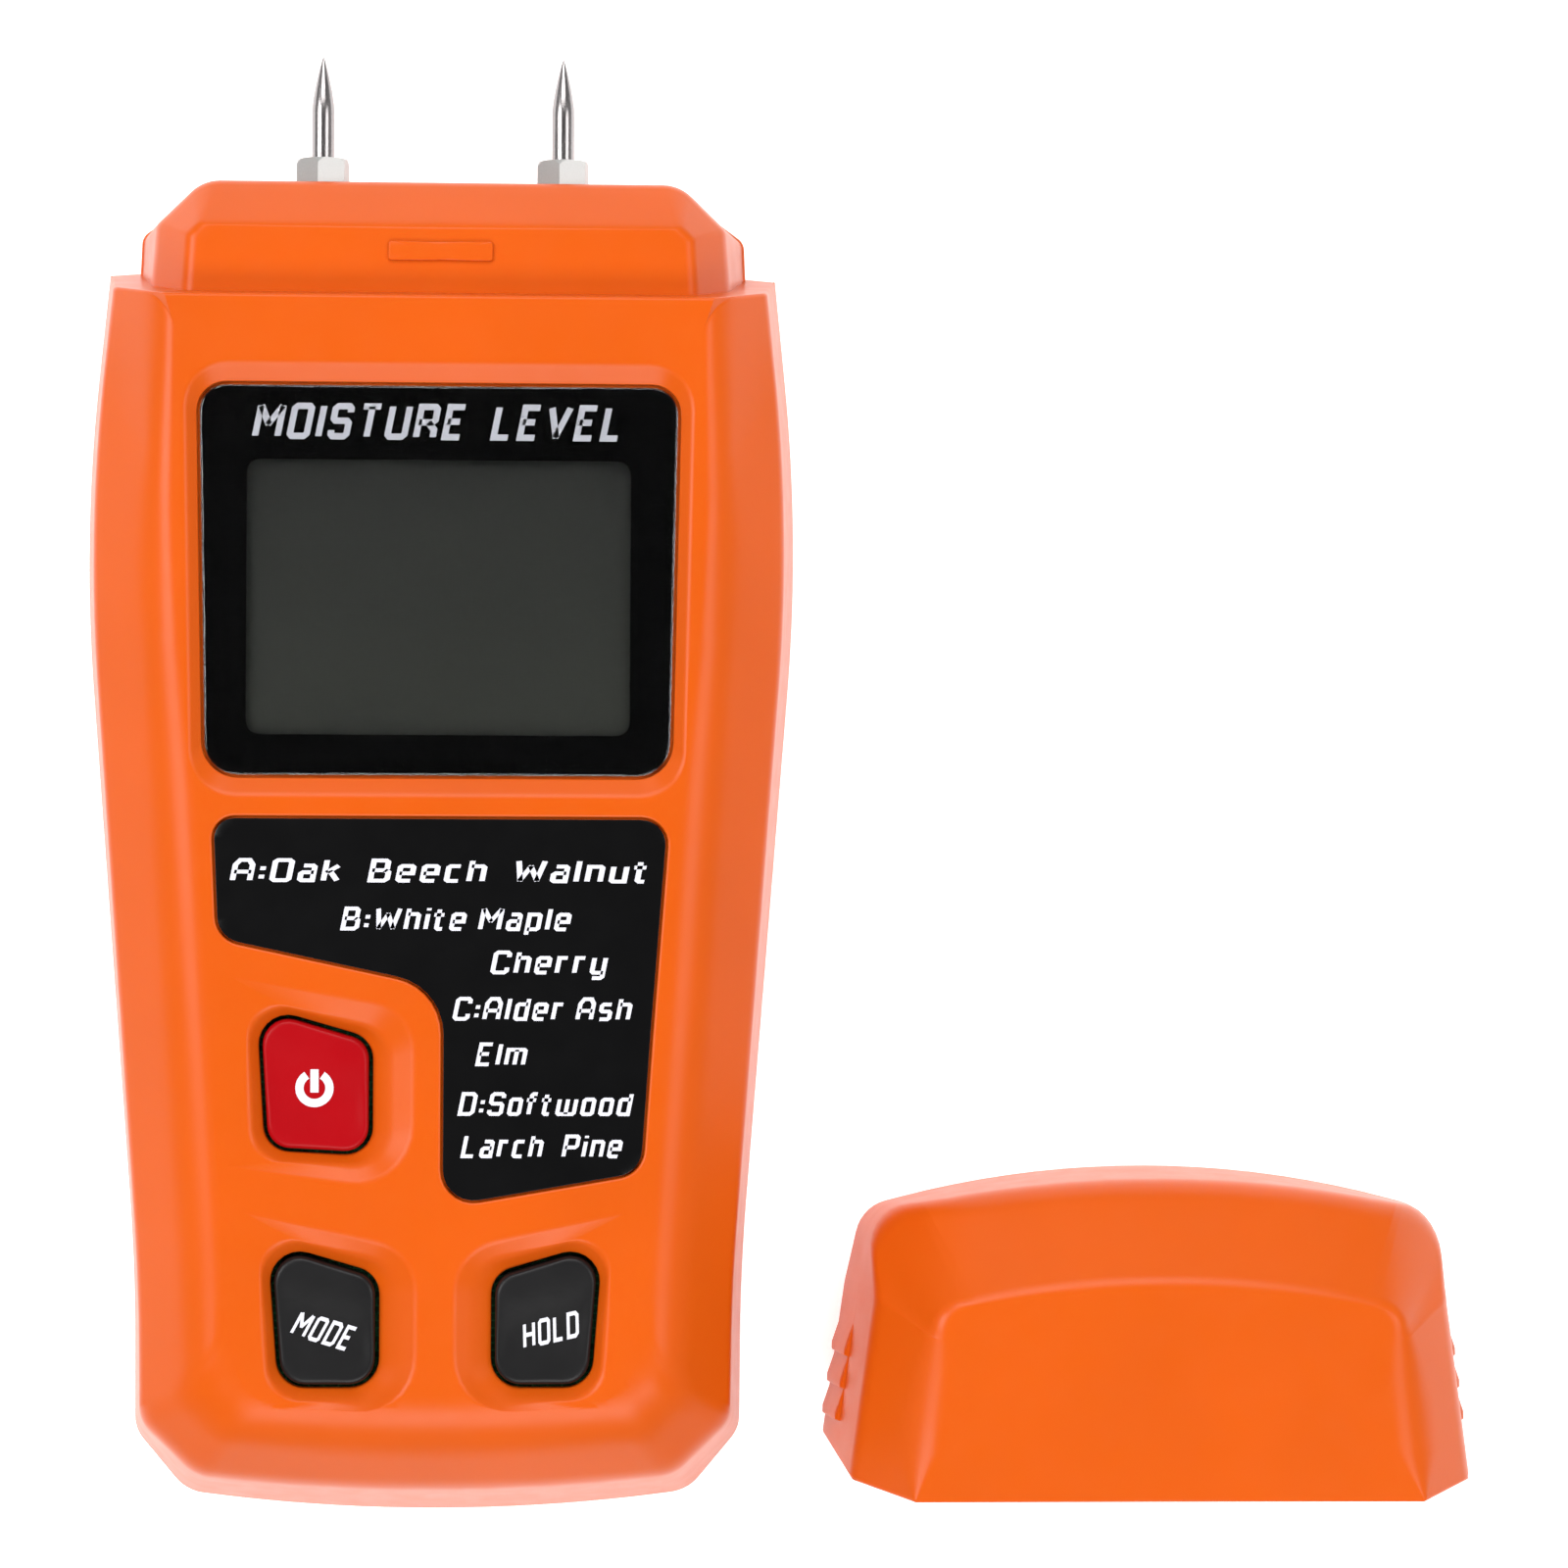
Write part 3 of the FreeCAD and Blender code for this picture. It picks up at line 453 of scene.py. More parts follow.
def housing_plastic():
    """Orange ABS that lets a little light in."""
    paint = moulded("orange_abs", (0.545, 0.079, 0.003), 0.32,
                    grain=5.0, grain_depth=0.010, shade=0.03, shine=0.18)
    paint.set(Subsurface_Weight=0.12, Subsurface_Radius=(1.0, 0.25, 0.06), Subsurface_Scale=0.0012)
    paint.set(IOR=1.5)
    return paint.material


def brushed_metal(name, colour, roughness, axis):
    """Metal with fine lines along one axis, 0 for X, 1 for Y, 2 for Z."""
    paint = Paint(name)
    stretch = [6.0, 6.0, 6.0]
    stretch[axis] = 0.25
    lines = paint.noise(2.0, 4.0, paint.stretched(*stretch))
    paint.colour(paint.ramp(lines, [(0.25, tinted(colour, 0.85)), (0.75, tinted(colour, 1.08))]))
    paint.roughness(paint.range(lines, roughness - 0.06, roughness + 0.08))
    paint.bump(lines, 0.25, 0.006)
    paint.set(Metallic=1.0)
    return paint.material


def clear_acrylic():
    """The window's clear acrylic."""
    paint = Paint("clear_acrylic")
    paint.roughness(paint.range(paint.noise(0.2), 0.02, 0.05))
    paint.set(Base_Color=(0.96, 0.97, 0.97, 1), Transmission_Weight=1.0, IOR=1.49)
    return paint.material


def display_cell():
    """The dark grey-green liquid crystal cell, darker towards the top."""
    paint = Paint("liquid_crystal_cell")
    split = paint.add("ShaderNodeSeparateXYZ")
    paint.link(paint.place, split.inputs[0])
    rise = paint.add("ShaderNodeMapRange")
    rise.inputs["From Min"].default_value = CELL_LOW_Y
    rise.inputs["From Max"].default_value = CELL_TOP_Y
    paint.link(split.outputs["Y"], rise.inputs["Value"])
    blend = paint.add("ShaderNodeMath")
    blend.operation = "ADD"
    paint.link(rise.outputs["Result"], blend.inputs[0])
    paint.link(paint.range(paint.noise(0.08), -0.25, 0.25), blend.inputs[1])
    paint.colour(paint.ramp(blend.outputs[0], [(0.0, (0.031, 0.033, 0.026)), (1.0, (0.019, 0.020, 0.017))]))
    paint.roughness(paint.range(paint.noise(1.2), 0.30, 0.40))
    return paint.material


def board_laminate():
    """Green solder mask over a faint pattern of copper."""
    paint = Paint("board_laminate")
    cells = paint.add("ShaderNodeTexBrick")
    cells.inputs["Scale"].default_value = 0.35
    cells.inputs["Color1"].default_value = (0.012, 0.10, 0.035, 1)
    cells.inputs["Color2"].default_value = (0.010, 0.085, 0.03, 1)
    cells.inputs["Mortar"].default_value = (0.03, 0.19, 0.07, 1)
    cells.inputs["Mortar Size"].default_value = 0.03
    paint.link(paint.place, cells.inputs["Vector"])
    paint.colour(cells.outputs["Color"])
    paint.roughness(paint.range(paint.noise(0.8), 0.25, 0.4))
    paint.bump(cells.outputs["Fac"], 0.4, 0.03)
    return paint.material


def battery_jacket():
    """A black jacket with a copper-coloured band at the terminal end."""
    paint = Paint("battery_jacket")
    split = paint.add("ShaderNodeSeparateXYZ")
    paint.link(paint.place, split.inputs[0])
    along = paint.add("ShaderNodeMapRange")
    along.inputs["From Min"].default_value = BATTERY_LOW_Y
    along.inputs["From Max"].default_value = BATTERY_TOP_Y
    paint.link(split.outputs["Y"], along.inputs["Value"])
    band = paint.ramp(along.outputs["Result"], [(0.64, (0.015, 0.015, 0.017)), (0.66, (0.42, 0.17, 0.06))])
    paint.colour(band)
    paint.roughness(paint.range(paint.noise(0.5), 0.22, 0.34))
    paint.set(Metallic=0.6)
    return paint.material


def layered_rubber():
    """The light and dark layers of a conductive contact strip."""
    paint = Paint("layered_rubber")
    wave = paint.add("ShaderNodeTexWave")
    wave.inputs["Scale"].default_value = 3.0
    paint.link(paint.place, wave.inputs["Vector"])
    paint.colour(paint.ramp(wave.outputs["Fac"], [(0.4, (0.03, 0.03, 0.03)), (0.6, (0.5, 0.5, 0.52))]))
    paint.set(Roughness=0.7)
    return paint.material


def ink():
    """Pale screen-printed ink."""
    return moulded("pale_ink", (0.62, 0.62, 0.68), 0.5, grain=9.0, grain_depth=0.004, shade=0.06).material


ORANGE = housing_plastic()
ACRYLIC = clear_acrylic()
INK = ink()
BLACK_PRINT = moulded("black_print", (0.0020, 0.0018, 0.0018), 0.20,
                      grain=6.0, grain_depth=0.002, shade=0.1, shine=0.2).material
LABEL_FILM = moulded("label_film", (0.0038, 0.0038, 0.0040), 0.22,
                     grain=3.0, grain_depth=0.003, shade=0.1, shine=0.18).material
RED_RUBBER = moulded("red_rubber", (0.31, 0.0012, 0.004), 0.34,
                     grain=1.2, grain_depth=0.03, shade=0.10, shine=0.12).material
BLACK_RUBBER = moulded("black_rubber", (0.0080, 0.0078, 0.0082), 0.36,
                       grain=1.2, grain_depth=0.03, shade=0.15, shine=0.2).material
NEEDLE_STEEL = brushed_metal("needle_steel", (0.33, 0.31, 0.31), 0.24, 1)
NICKEL = brushed_metal("nickel", (0.46, 0.46, 0.45), 0.42, 2)
ZINC = brushed_metal("zinc_plate", (0.50, 0.51, 0.52), 0.34, 0)
BRASS = brushed_metal("tinned_brass", (0.70, 0.55, 0.30), 0.30, 0)


# ==== shells ========================================================
def shoulder_at(z, shift=0.0):
    return SHOULDER_Y + SHOULDER_SLANT * (FRONT_Z - z) + shift


def closed_ring(right_side, z, shift=0.0):
    """A housing outline, closed at the shoulder."""
    return whole_ring(ended_at(right_side, shoulder_at(z, shift), SHOULDER_CORNER), z)


def front_softness(ring):
    """How far the front edge is rounded: crisp at the shoulder, softest at the near end."""
    limit = shoulder_at(FRONT_Z) - 0.05
    edges = []
    for p in ring:
        edge = NEAR_FRONT_EDGE if p.y < NEAR_FRONT_Y else FRONT_EDGE
        edges.append(CRISP_EDGE if p.y > limit else edge)
    return edges


def side_softness(ring):
    """How far the edge between bevel and side is rounded: softer at the near end."""
    return [NEAR_SIDE_EDGE if p.y < NEAR_SIDE_Y else SIDE_EDGE for p in ring]


def seam(ring):
    """Two rings that break the edge at the parting line."""
    return [grown(ring, -SEAM_BREAK), at_height(ring, PARTING_Z + SEAM_BREAK)]


def body_front_half():
    parting = closed_ring(BODY_PARTING, PARTING_Z)
    bevel = closed_ring(BODY_BEVEL, BEVEL_Z)
    front = closed_ring(BODY_FRONT, FRONT_Z)
    middle = scaled(front, FACE_SHARE, FRONT_Z)
    rings = seam(parting)
    rings += eased(parting, bevel, front, side_softness(bevel), 5)
    rings += eased(bevel, front, middle, front_softness(front), 10)
    rings.append(middle)
    return loft("front_shell_skin", stepped(rings))


def head_front_half():
    parting = whole_ring(HEAD_PARTING, PARTING_Z)
    bevel = whole_ring(HEAD_BEVEL, HEAD_BEVEL_Z)
    front = whole_ring(HEAD_FRONT, HEAD_FRONT_Z)
    middle = scaled(front, FACE_SHARE, HEAD_FRONT_Z)
    rings = seam(parting)
    rings += eased(parting, bevel, front, HEAD_EDGE, 4)
    rings += eased(bevel, front, middle, HEAD_EDGE, 5)
    rings.append(middle)
    return loft("head_front", stepped(rings))


def catch():
    """The low rib on the head that the cap snaps over."""
    edge = whole_ring(CATCH, HEAD_FRONT_Z - 0.6)
    crest = at_height(edge, HEAD_FRONT_Z + CATCH_HEIGHT)
    inner = scaled(crest, 0.5, HEAD_FRONT_Z + CATCH_HEIGHT)
    return loft("catch", [edge] + eased(edge, crest, inner, CATCH_EDGE, 3) + [inner])


def inset(right_side, side, end):
    """A right side drawn in: its open end only moves sideways."""
    first_x, first_y, first_radius = right_side[0]
    moved = [(first_x - side, first_y, first_radius)]
    for x, y, radius in right_side[1:]:
        if abs(y) < 40:
            moved.append((x - side, y, radius))
        else:
            moved.append((max(x - side, 0), y - math.copysign(end, y), max(radius - side, 0.8)))
    return moved


def housing_cavity():
    """The space inside both shells, as two solids: housing and head."""
    shift = -SHELL_WALL
    levels = [(inset(BODY_BACK, 0.9, 0.9), REAR_INSIDE_Z),
              (inset(BODY_PARTING, SHELL_WALL, SHELL_WALL), PARTING_Z),
              (inset(BODY_BEVEL, 2.0, 2.0), BEVEL_Z - 0.9),
              (inset(BODY_FRONT, 0.5, 0.5), FRONT_INSIDE_Z)]
    body = loft("body_cavity", [closed_ring(side, z, shift) for side, z in levels])
    levels = [(inset(HEAD_BACK, 1.2, 1.2), HEAD_BACK_Z + 2.0),
              (inset(HEAD_PARTING, SHELL_WALL, SHELL_WALL), PARTING_Z),
              (inset(HEAD_BEVEL, SHELL_WALL, SHELL_WALL), HEAD_BEVEL_Z - 0.6),
              (inset(HEAD_FRONT, 2.0, 2.0), HEAD_FRONT_Z - SHELL_WALL)]
    head = loft("head_cavity", [whole_ring(side, z) for side, z in levels])
    return [body, head]


def display_recess():
    """The window's pocket and the sloped frame round it."""
    pocket = grown(whole_ring(WINDOW, WINDOW_LOW_Z), WINDOW_GAP)
    ledge = at_height(pocket, WINDOW_TOP_Z - 0.1)
    rim = whole_ring(RECESS, FRONT_Z)
    outside = grown(rim, 0.6)
    rings = [pocket] + eased(pocket, ledge, rim, 0.12, 2)
    rings += eased(ledge, rim, outside, 0.45, 4)
    rings.append(at_height(rings[-1], FRONT_Z + ABOVE))
    return loft("display_recess", rings)


def display_opening():
    edge = whole_ring(OPENING, FRONT_INSIDE_Z - 1)
    return loft("display_opening", [edge, at_height(edge, WINDOW_LOW_Z + 0.5)])


def label_recess():
    pocket = grown(outline(LABEL, LABEL_LOW_Z - 0.5), LABEL_GAP)
    rim = at_height(pocket, FRONT_Z)
    outside = grown(rim, 0.8)
    rings = [pocket] + eased(pocket, rim, outside, 0.3, 4)
    rings.append(at_height(rings[-1], FRONT_Z + ABOVE))
    return loft("label_recess", rings)


def key_well(name, key, ring, dish):
    """The hole for a key, in a funnel, in a dish that deepens towards the meter's middle."""
    outer_x = dish[0][0]
    inner_x = dish[1][0]

    def dish_depth(x):
        return DISH_RIM_DEPTH + DISH_DEPTH * smooth(x, outer_x, inner_x)

    flat_hole = grown(outline(key, 0), KEY_GAP)
    hole = [Vector((p.x, p.y, FRONT_Z - dish_depth(p.x) - FUNNEL_DEPTH)) for p in flat_hole]
    terrace = [Vector((p.x, p.y, FRONT_Z - dish_depth(p.x))) for p in outline(ring, 0)]
    rim = outline(dish, FRONT_Z)
    outside = grown(rim, 1.0)
    foot = at_height(flat_hole, FRONT_INSIDE_Z - 1)
    rings = [foot] + eased(foot, hole, terrace, 0.2, 2)
    rings += eased(hole, terrace, rim, 0.55, 5)
    rings += eased(terrace, rim, outside, 0.4, 4)
    rings.append(at_height(rings[-1], FRONT_Z + ABOVE))
    return loft(name, rings)


def front_shell():
    """The front half of the housing with its head, pockets, wells and pin holes."""
    shell = combined(body_front_half(), [head_front_half(), catch()], "UNION")
    cutters = housing_cavity()
    cutters += [display_recess(), display_opening(), label_recess()]
    cutters.append(key_well("power_well", POWER_KEY, POWER_RING, POWER_DISH))
    cutters.append(key_well("mode_well", MODE_KEY, MODE_RING, MODE_DISH))
    cutters.append(mirrored(key_well("hold_well", MODE_KEY, MODE_RING, MODE_DISH)))
    for side in (-1, 1):
        cutters.append(turned_rod("pin_hole", side * PIN_X, PIN_Z, PIN_HOLE, 24))
    combined(shell, cutters, "DIFFERENCE")
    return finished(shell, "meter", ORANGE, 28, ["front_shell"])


def mirrored(piece):
    """The same piece on the other side of the meter."""
    piece.data.transform(Matrix.Scale(-1, 4, (1, 0, 0)))
    piece.data.flip_normals()
    return piece


# ---- cap -----------------------------------------------------------
def cap_ring(right_side, z):
    """A cap outline, closed at its rim."""
    return whole_ring(ended_at(right_side, shoulder_at(z, CAP_RIM_GAP), CAP_RIM_CORNER), z)


def edge_at(place, beside, beyond, low, high):
    """The rounding of a cap edge: crisp at the rim, beside up to the height low, beyond past high."""
    if place.y < shoulder_at(BEVEL_Z, CAP_RIM_GAP) + 0.1:
        return CAP_RIM_CORNER
    return beside + (beyond - beside) * smooth(place.y, low, high)


def cap_outside():
    """The cap's outer skin, closed all round."""
    back = cap_ring(CAP_BACK, CAP_BACK_Z)
    parting = cap_ring(CAP_PARTING, PARTING_Z)
    bevel = corners_lowered(cap_ring(CAP_BEVEL, BEVEL_Z), 0)
    front = cap_ring(CAP_FRONT, FRONT_Z)
    low = scaled(back, FACE_SHARE, CAP_BACK_Z)
    high = scaled(front, FACE_SHARE, FRONT_Z)
    rings = [low] + eased(low, back, parting, CAP_BACK_EDGE, 5)
    rings += eased(back, parting, bevel, CAP_SIDE_EDGE, 4)
    rings += eased(parting, bevel, front, [edge_at(p, *CAP_BEVEL_EDGE) for p in bevel], 7)
    rings += eased(bevel, front, high, [edge_at(p, *CAP_FRONT_EDGE) for p in front], 8)
    rings.append(high)
    return loft("cap_skin", stepped(rings))


def corners_lowered(ring, depth):
    """The ring with what lies beyond the two corner facets let down onto them."""
    lowered = []
    for p in ring:
        place = Vector((abs(p.x), p.y, p.z)) - CAP_CORNER
        beyond = place.dot(CAP_CORNER_FACING) + depth
        lowered.append(p - Vector((0, 0, max(0.0, beyond) / CAP_CORNER_FACING.z)))
    return lowered


def cap_inside():
    """The cap's hollow, open past the rim."""
    levels = [(inset(CAP_BACK, 0.7, 0.9), CAP_BACK_Z + CAP_FACE_WALL),
              (inset(CAP_PARTING, CAP_WALL, CAP_FACE_WALL), PARTING_Z),
              (inset(CAP_BEVEL, CAP_WALL, CAP_FACE_WALL), BEVEL_Z - 0.9),
              (inset(CAP_FRONT, 0.2, 1.4), FRONT_Z - CAP_FACE_WALL)]
    rings = [whole_ring(side, z) for side, z in levels]
    rings[2] = corners_lowered(rings[2], CAP_CORNER_WALL)
    return loft("cap_cavity", rings)


GRIP_TEETH = 3
GRIP_PITCH = 3.15
GRIP_FIRST_Y = 63.0
GRIP_LENGTH = 3.3
GRIP_HEIGHT = 0.4
GRIP_Z = (8.0, 13.8)
GRIP_ROOT = 1.2
# two points (half width, y) of the cap's side, at the bevel and at the parting line
SIDE_AT_BEVEL = ((31.2, 50.0), (27.8, 75.2))
SIDE_AT_PARTING = ((33.6, 50.0), (29.9, 76.0))


def cap_side_x(y, z):
    """The cap's half width on its side wall."""
    widths = []
    for (x0, y0), (x1, y1) in (SIDE_AT_BEVEL, SIDE_AT_PARTING):
        widths.append(x0 - (y - y0) * (x0 - x1) / (y1 - y0))
    flare = (BEVEL_Z - z) / (BEVEL_Z - PARTING_Z)
    return widths[0] + flare * (widths[1] - widths[0])


def grip_tooth(side, foot_y):
    """A low sawtooth on the cap's side, highest at its foot."""
    top_y = foot_y + GRIP_LENGTH
    rings = []
    low, high = GRIP_Z
    for z, rise in ((low, GRIP_HEIGHT), (high - 0.3, GRIP_HEIGHT), (high, GRIP_HEIGHT - 0.2)):
        foot_x = cap_side_x(foot_y, z)
        top_x = cap_side_x(top_y, z)
        corners = [(foot_x - GRIP_ROOT, foot_y), (foot_x + rise - 0.1, foot_y),
                   (foot_x + rise, foot_y + 0.12), (foot_x + rise - 0.02, foot_y + 0.8),
                   (top_x, top_y), (top_x - GRIP_ROOT, top_y)]
        rings.append([Vector((side * x, y, z)) for x, y in corners])
    return loft("grip_tooth", rings)


def cap():
    """The whole cap, built where it sits on the head and then laid beside the meter."""
    shell = cap_outside()
    teeth = []
    for step in range(GRIP_TEETH):
        for side in (-1, 1):
            teeth.append(grip_tooth(side, GRIP_FIRST_Y + GRIP_PITCH * step))
    combined(shell, teeth, "UNION")
    combined(shell, [cap_inside()], "DIFFERENCE")
    rim_y = shoulder_at(FRONT_Z, CAP_RIM_GAP)
    shell.data.transform(Matrix.Translation((CAP_X, CAP_RIM_Y - rim_y, 0)))
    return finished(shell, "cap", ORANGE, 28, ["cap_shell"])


# ---- needles and nuts ----------------------------------------------
PIN_RADIUS = 1.1
PIN_ROOT_Y = 62.4
PIN_THREAD_RADIUS = 0.87
NUT_HEIGHT = 2.8
NUT_FLATS = 4.7
NUT_TURN = 22.0
THREAD_HOLE = [(0.9, 60.0), (0.9, 80.0)]
SHANK_Y = 76.4
POINT_STEPS = 12
TIP_RADIUS = 0.05
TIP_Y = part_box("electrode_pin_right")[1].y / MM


def needle_profile():
    """Radii along a needle: thread, shank and a long ogive point."""
    seat = HEAD_TOP_Y + NUT_HEIGHT
    profile = [(PIN_THREAD_RADIUS, PIN_ROOT_Y), (PIN_THREAD_RADIUS, seat - 0.05), (PIN_RADIUS, seat),
               (PIN_RADIUS, SHANK_Y - 0.6)]
    for step in range(POINT_STEPS + 1):
        t = step / POINT_STEPS
        radius = PIN_RADIUS * (1 - t ** 1.35) ** 0.92 + TIP_RADIUS * t
        profile.append((radius, SHANK_Y + (TIP_Y - SHANK_Y) * t))
    return profile


def nut(name, x):
    """A hexagonal nut whose corners are chamfered at its outer face."""
    low, high = HEAD_TOP_Y, HEAD_TOP_Y + NUT_HEIGHT
    apex = NUT_FLATS / math.sqrt(3)
    body = turned_rod(name, x, PIN_Z, [(apex, low), (apex, high)], 6)
    body.data.transform(Matrix.Translation((-x, 0, -PIN_Z)))
    body.data.transform(Matrix.Rotation(math.radians(NUT_TURN), 4, "Y"))
    body.data.transform(Matrix.Translation((x, 0, PIN_Z)))
    flat = NUT_FLATS / 2
    profile = [(apex + 0.1, low), (apex + 0.1, high - 0.62), (apex - 0.02, high - 0.52),
               (flat + 0.1, high - 0.06), (flat - 0.1, high)]
    barrel = turned_rod("nut_barrel", x, PIN_Z, profile, 72)
    combined(body, [barrel], "INTERSECT")
    return combined(body, [turned_rod("thread_hole", x, PIN_Z, THREAD_HOLE)], "DIFFERENCE")


def pins():
    """Both needles and their nuts."""
    for side, x in (("left", -PIN_X), ("right", PIN_X)):
        needle = turned_rod(f"needle_{side}", x, PIN_Z, needle_profile(), 48)
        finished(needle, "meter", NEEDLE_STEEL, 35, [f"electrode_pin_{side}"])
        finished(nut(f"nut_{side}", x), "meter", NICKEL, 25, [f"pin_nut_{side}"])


# ==== display, label and keys =======================================
def window():
    """The clear window over a black printed sheet with a hole for the display."""
    edge = grown(whole_ring(WINDOW, WINDOW_LOW_Z + PRINT_TOP + 0.03), -WINDOW_INSET)
    top = at_height(edge, WINDOW_TOP_Z)
    middle = scaled(top, FACE_SHARE, WINDOW_TOP_Z)
    lens = loft("window_lens", [edge] + eased(edge, top, middle, 0.28, 4) + [middle])
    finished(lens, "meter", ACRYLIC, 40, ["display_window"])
    sheet_edge = grown(whole_ring(WINDOW, WINDOW_LOW_Z + 0.05), -WINDOW_INSET)
    sheet = loft("window_print", [sheet_edge, at_height(sheet_edge, WINDOW_LOW_Z + PRINT_TOP)])
    gap = whole_ring(VIEW, WINDOW_LOW_Z - 1)
    combined(sheet, [loft("view_hole", [gap, at_height(gap, WINDOW_TOP_Z)])], "DIFFERENCE")
    finished(sheet, "meter", BLACK_PRINT, 40)


def label():
    """The printed film under the display."""
    edge = outline(LABEL, LABEL_LOW_Z + 0.01)
    top = at_height(edge, LABEL_TOP_Z)
    film = loft("species_label_film", [edge] + eased(edge, top, grown(top, -1), 0.05, 2) + [grown(top, -1)])
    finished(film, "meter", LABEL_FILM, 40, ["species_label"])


KEY_HEIGHT = 2.2
KEY_EDGE = 0.6
KEY_FACE_RINGS = 12
KEY_SCOOP = 0.26
KEY_SCOOP_TURN = math.radians(-16)
KEY_SCOOP_REACH = 4.6


def key_top(x, y, middle):
    """The height of a key's face: a shallow scoop across it, slightly askew."""
    across = (y - middle.y) * math.cos(KEY_SCOOP_TURN) - (x - middle.x) * math.sin(KEY_SCOOP_TURN)
    t = max(-1.0, min(1.0, (across + 0.6) / KEY_SCOOP_REACH))
    return KEY_TOP_Z - KEY_SCOOP * (1 + math.cos(math.pi * t)) / 2


def key_cap(name, corners):
    """A rubber key with a softly rounded edge and a scooped face."""
    foot = outline(corners, KEY_TOP_Z - KEY_HEIGHT)
    top = at_height(foot, KEY_TOP_Z)
    middle = sum(foot, Vector()) / len(foot)
    rings = [foot] + eased(foot, top, scaled(top, 0.5, KEY_TOP_Z), KEY_EDGE, 6)
    shoulder = rings[-1]
    for step in range(1, KEY_FACE_RINGS + 1):
        rings.append(scaled(shoulder, 1 - step / (KEY_FACE_RINGS + 1), KEY_TOP_Z))
    for number, ring in enumerate(rings[3:]):
        share = min(1.0, number / 6)
        for p in ring:
            p.z -= share * (KEY_TOP_Z - key_top(p.x, p.y, middle))
    return loft(name, rings)


def keys():
    """The three keys; their faces are kept so that the lettering can lie on them."""
    power = finished(key_cap("power_key_cap", POWER_KEY), "power_key", RED_RUBBER, 40,
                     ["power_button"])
    mode = finished(key_cap("mode_key_cap", MODE_KEY), "mode_key", BLACK_RUBBER, 40,
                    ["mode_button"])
    hold = finished(mirrored(key_cap("hold_key_cap", MODE_KEY)), "hold_key", BLACK_RUBBER, 40,
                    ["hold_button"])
    return power, mode, hold


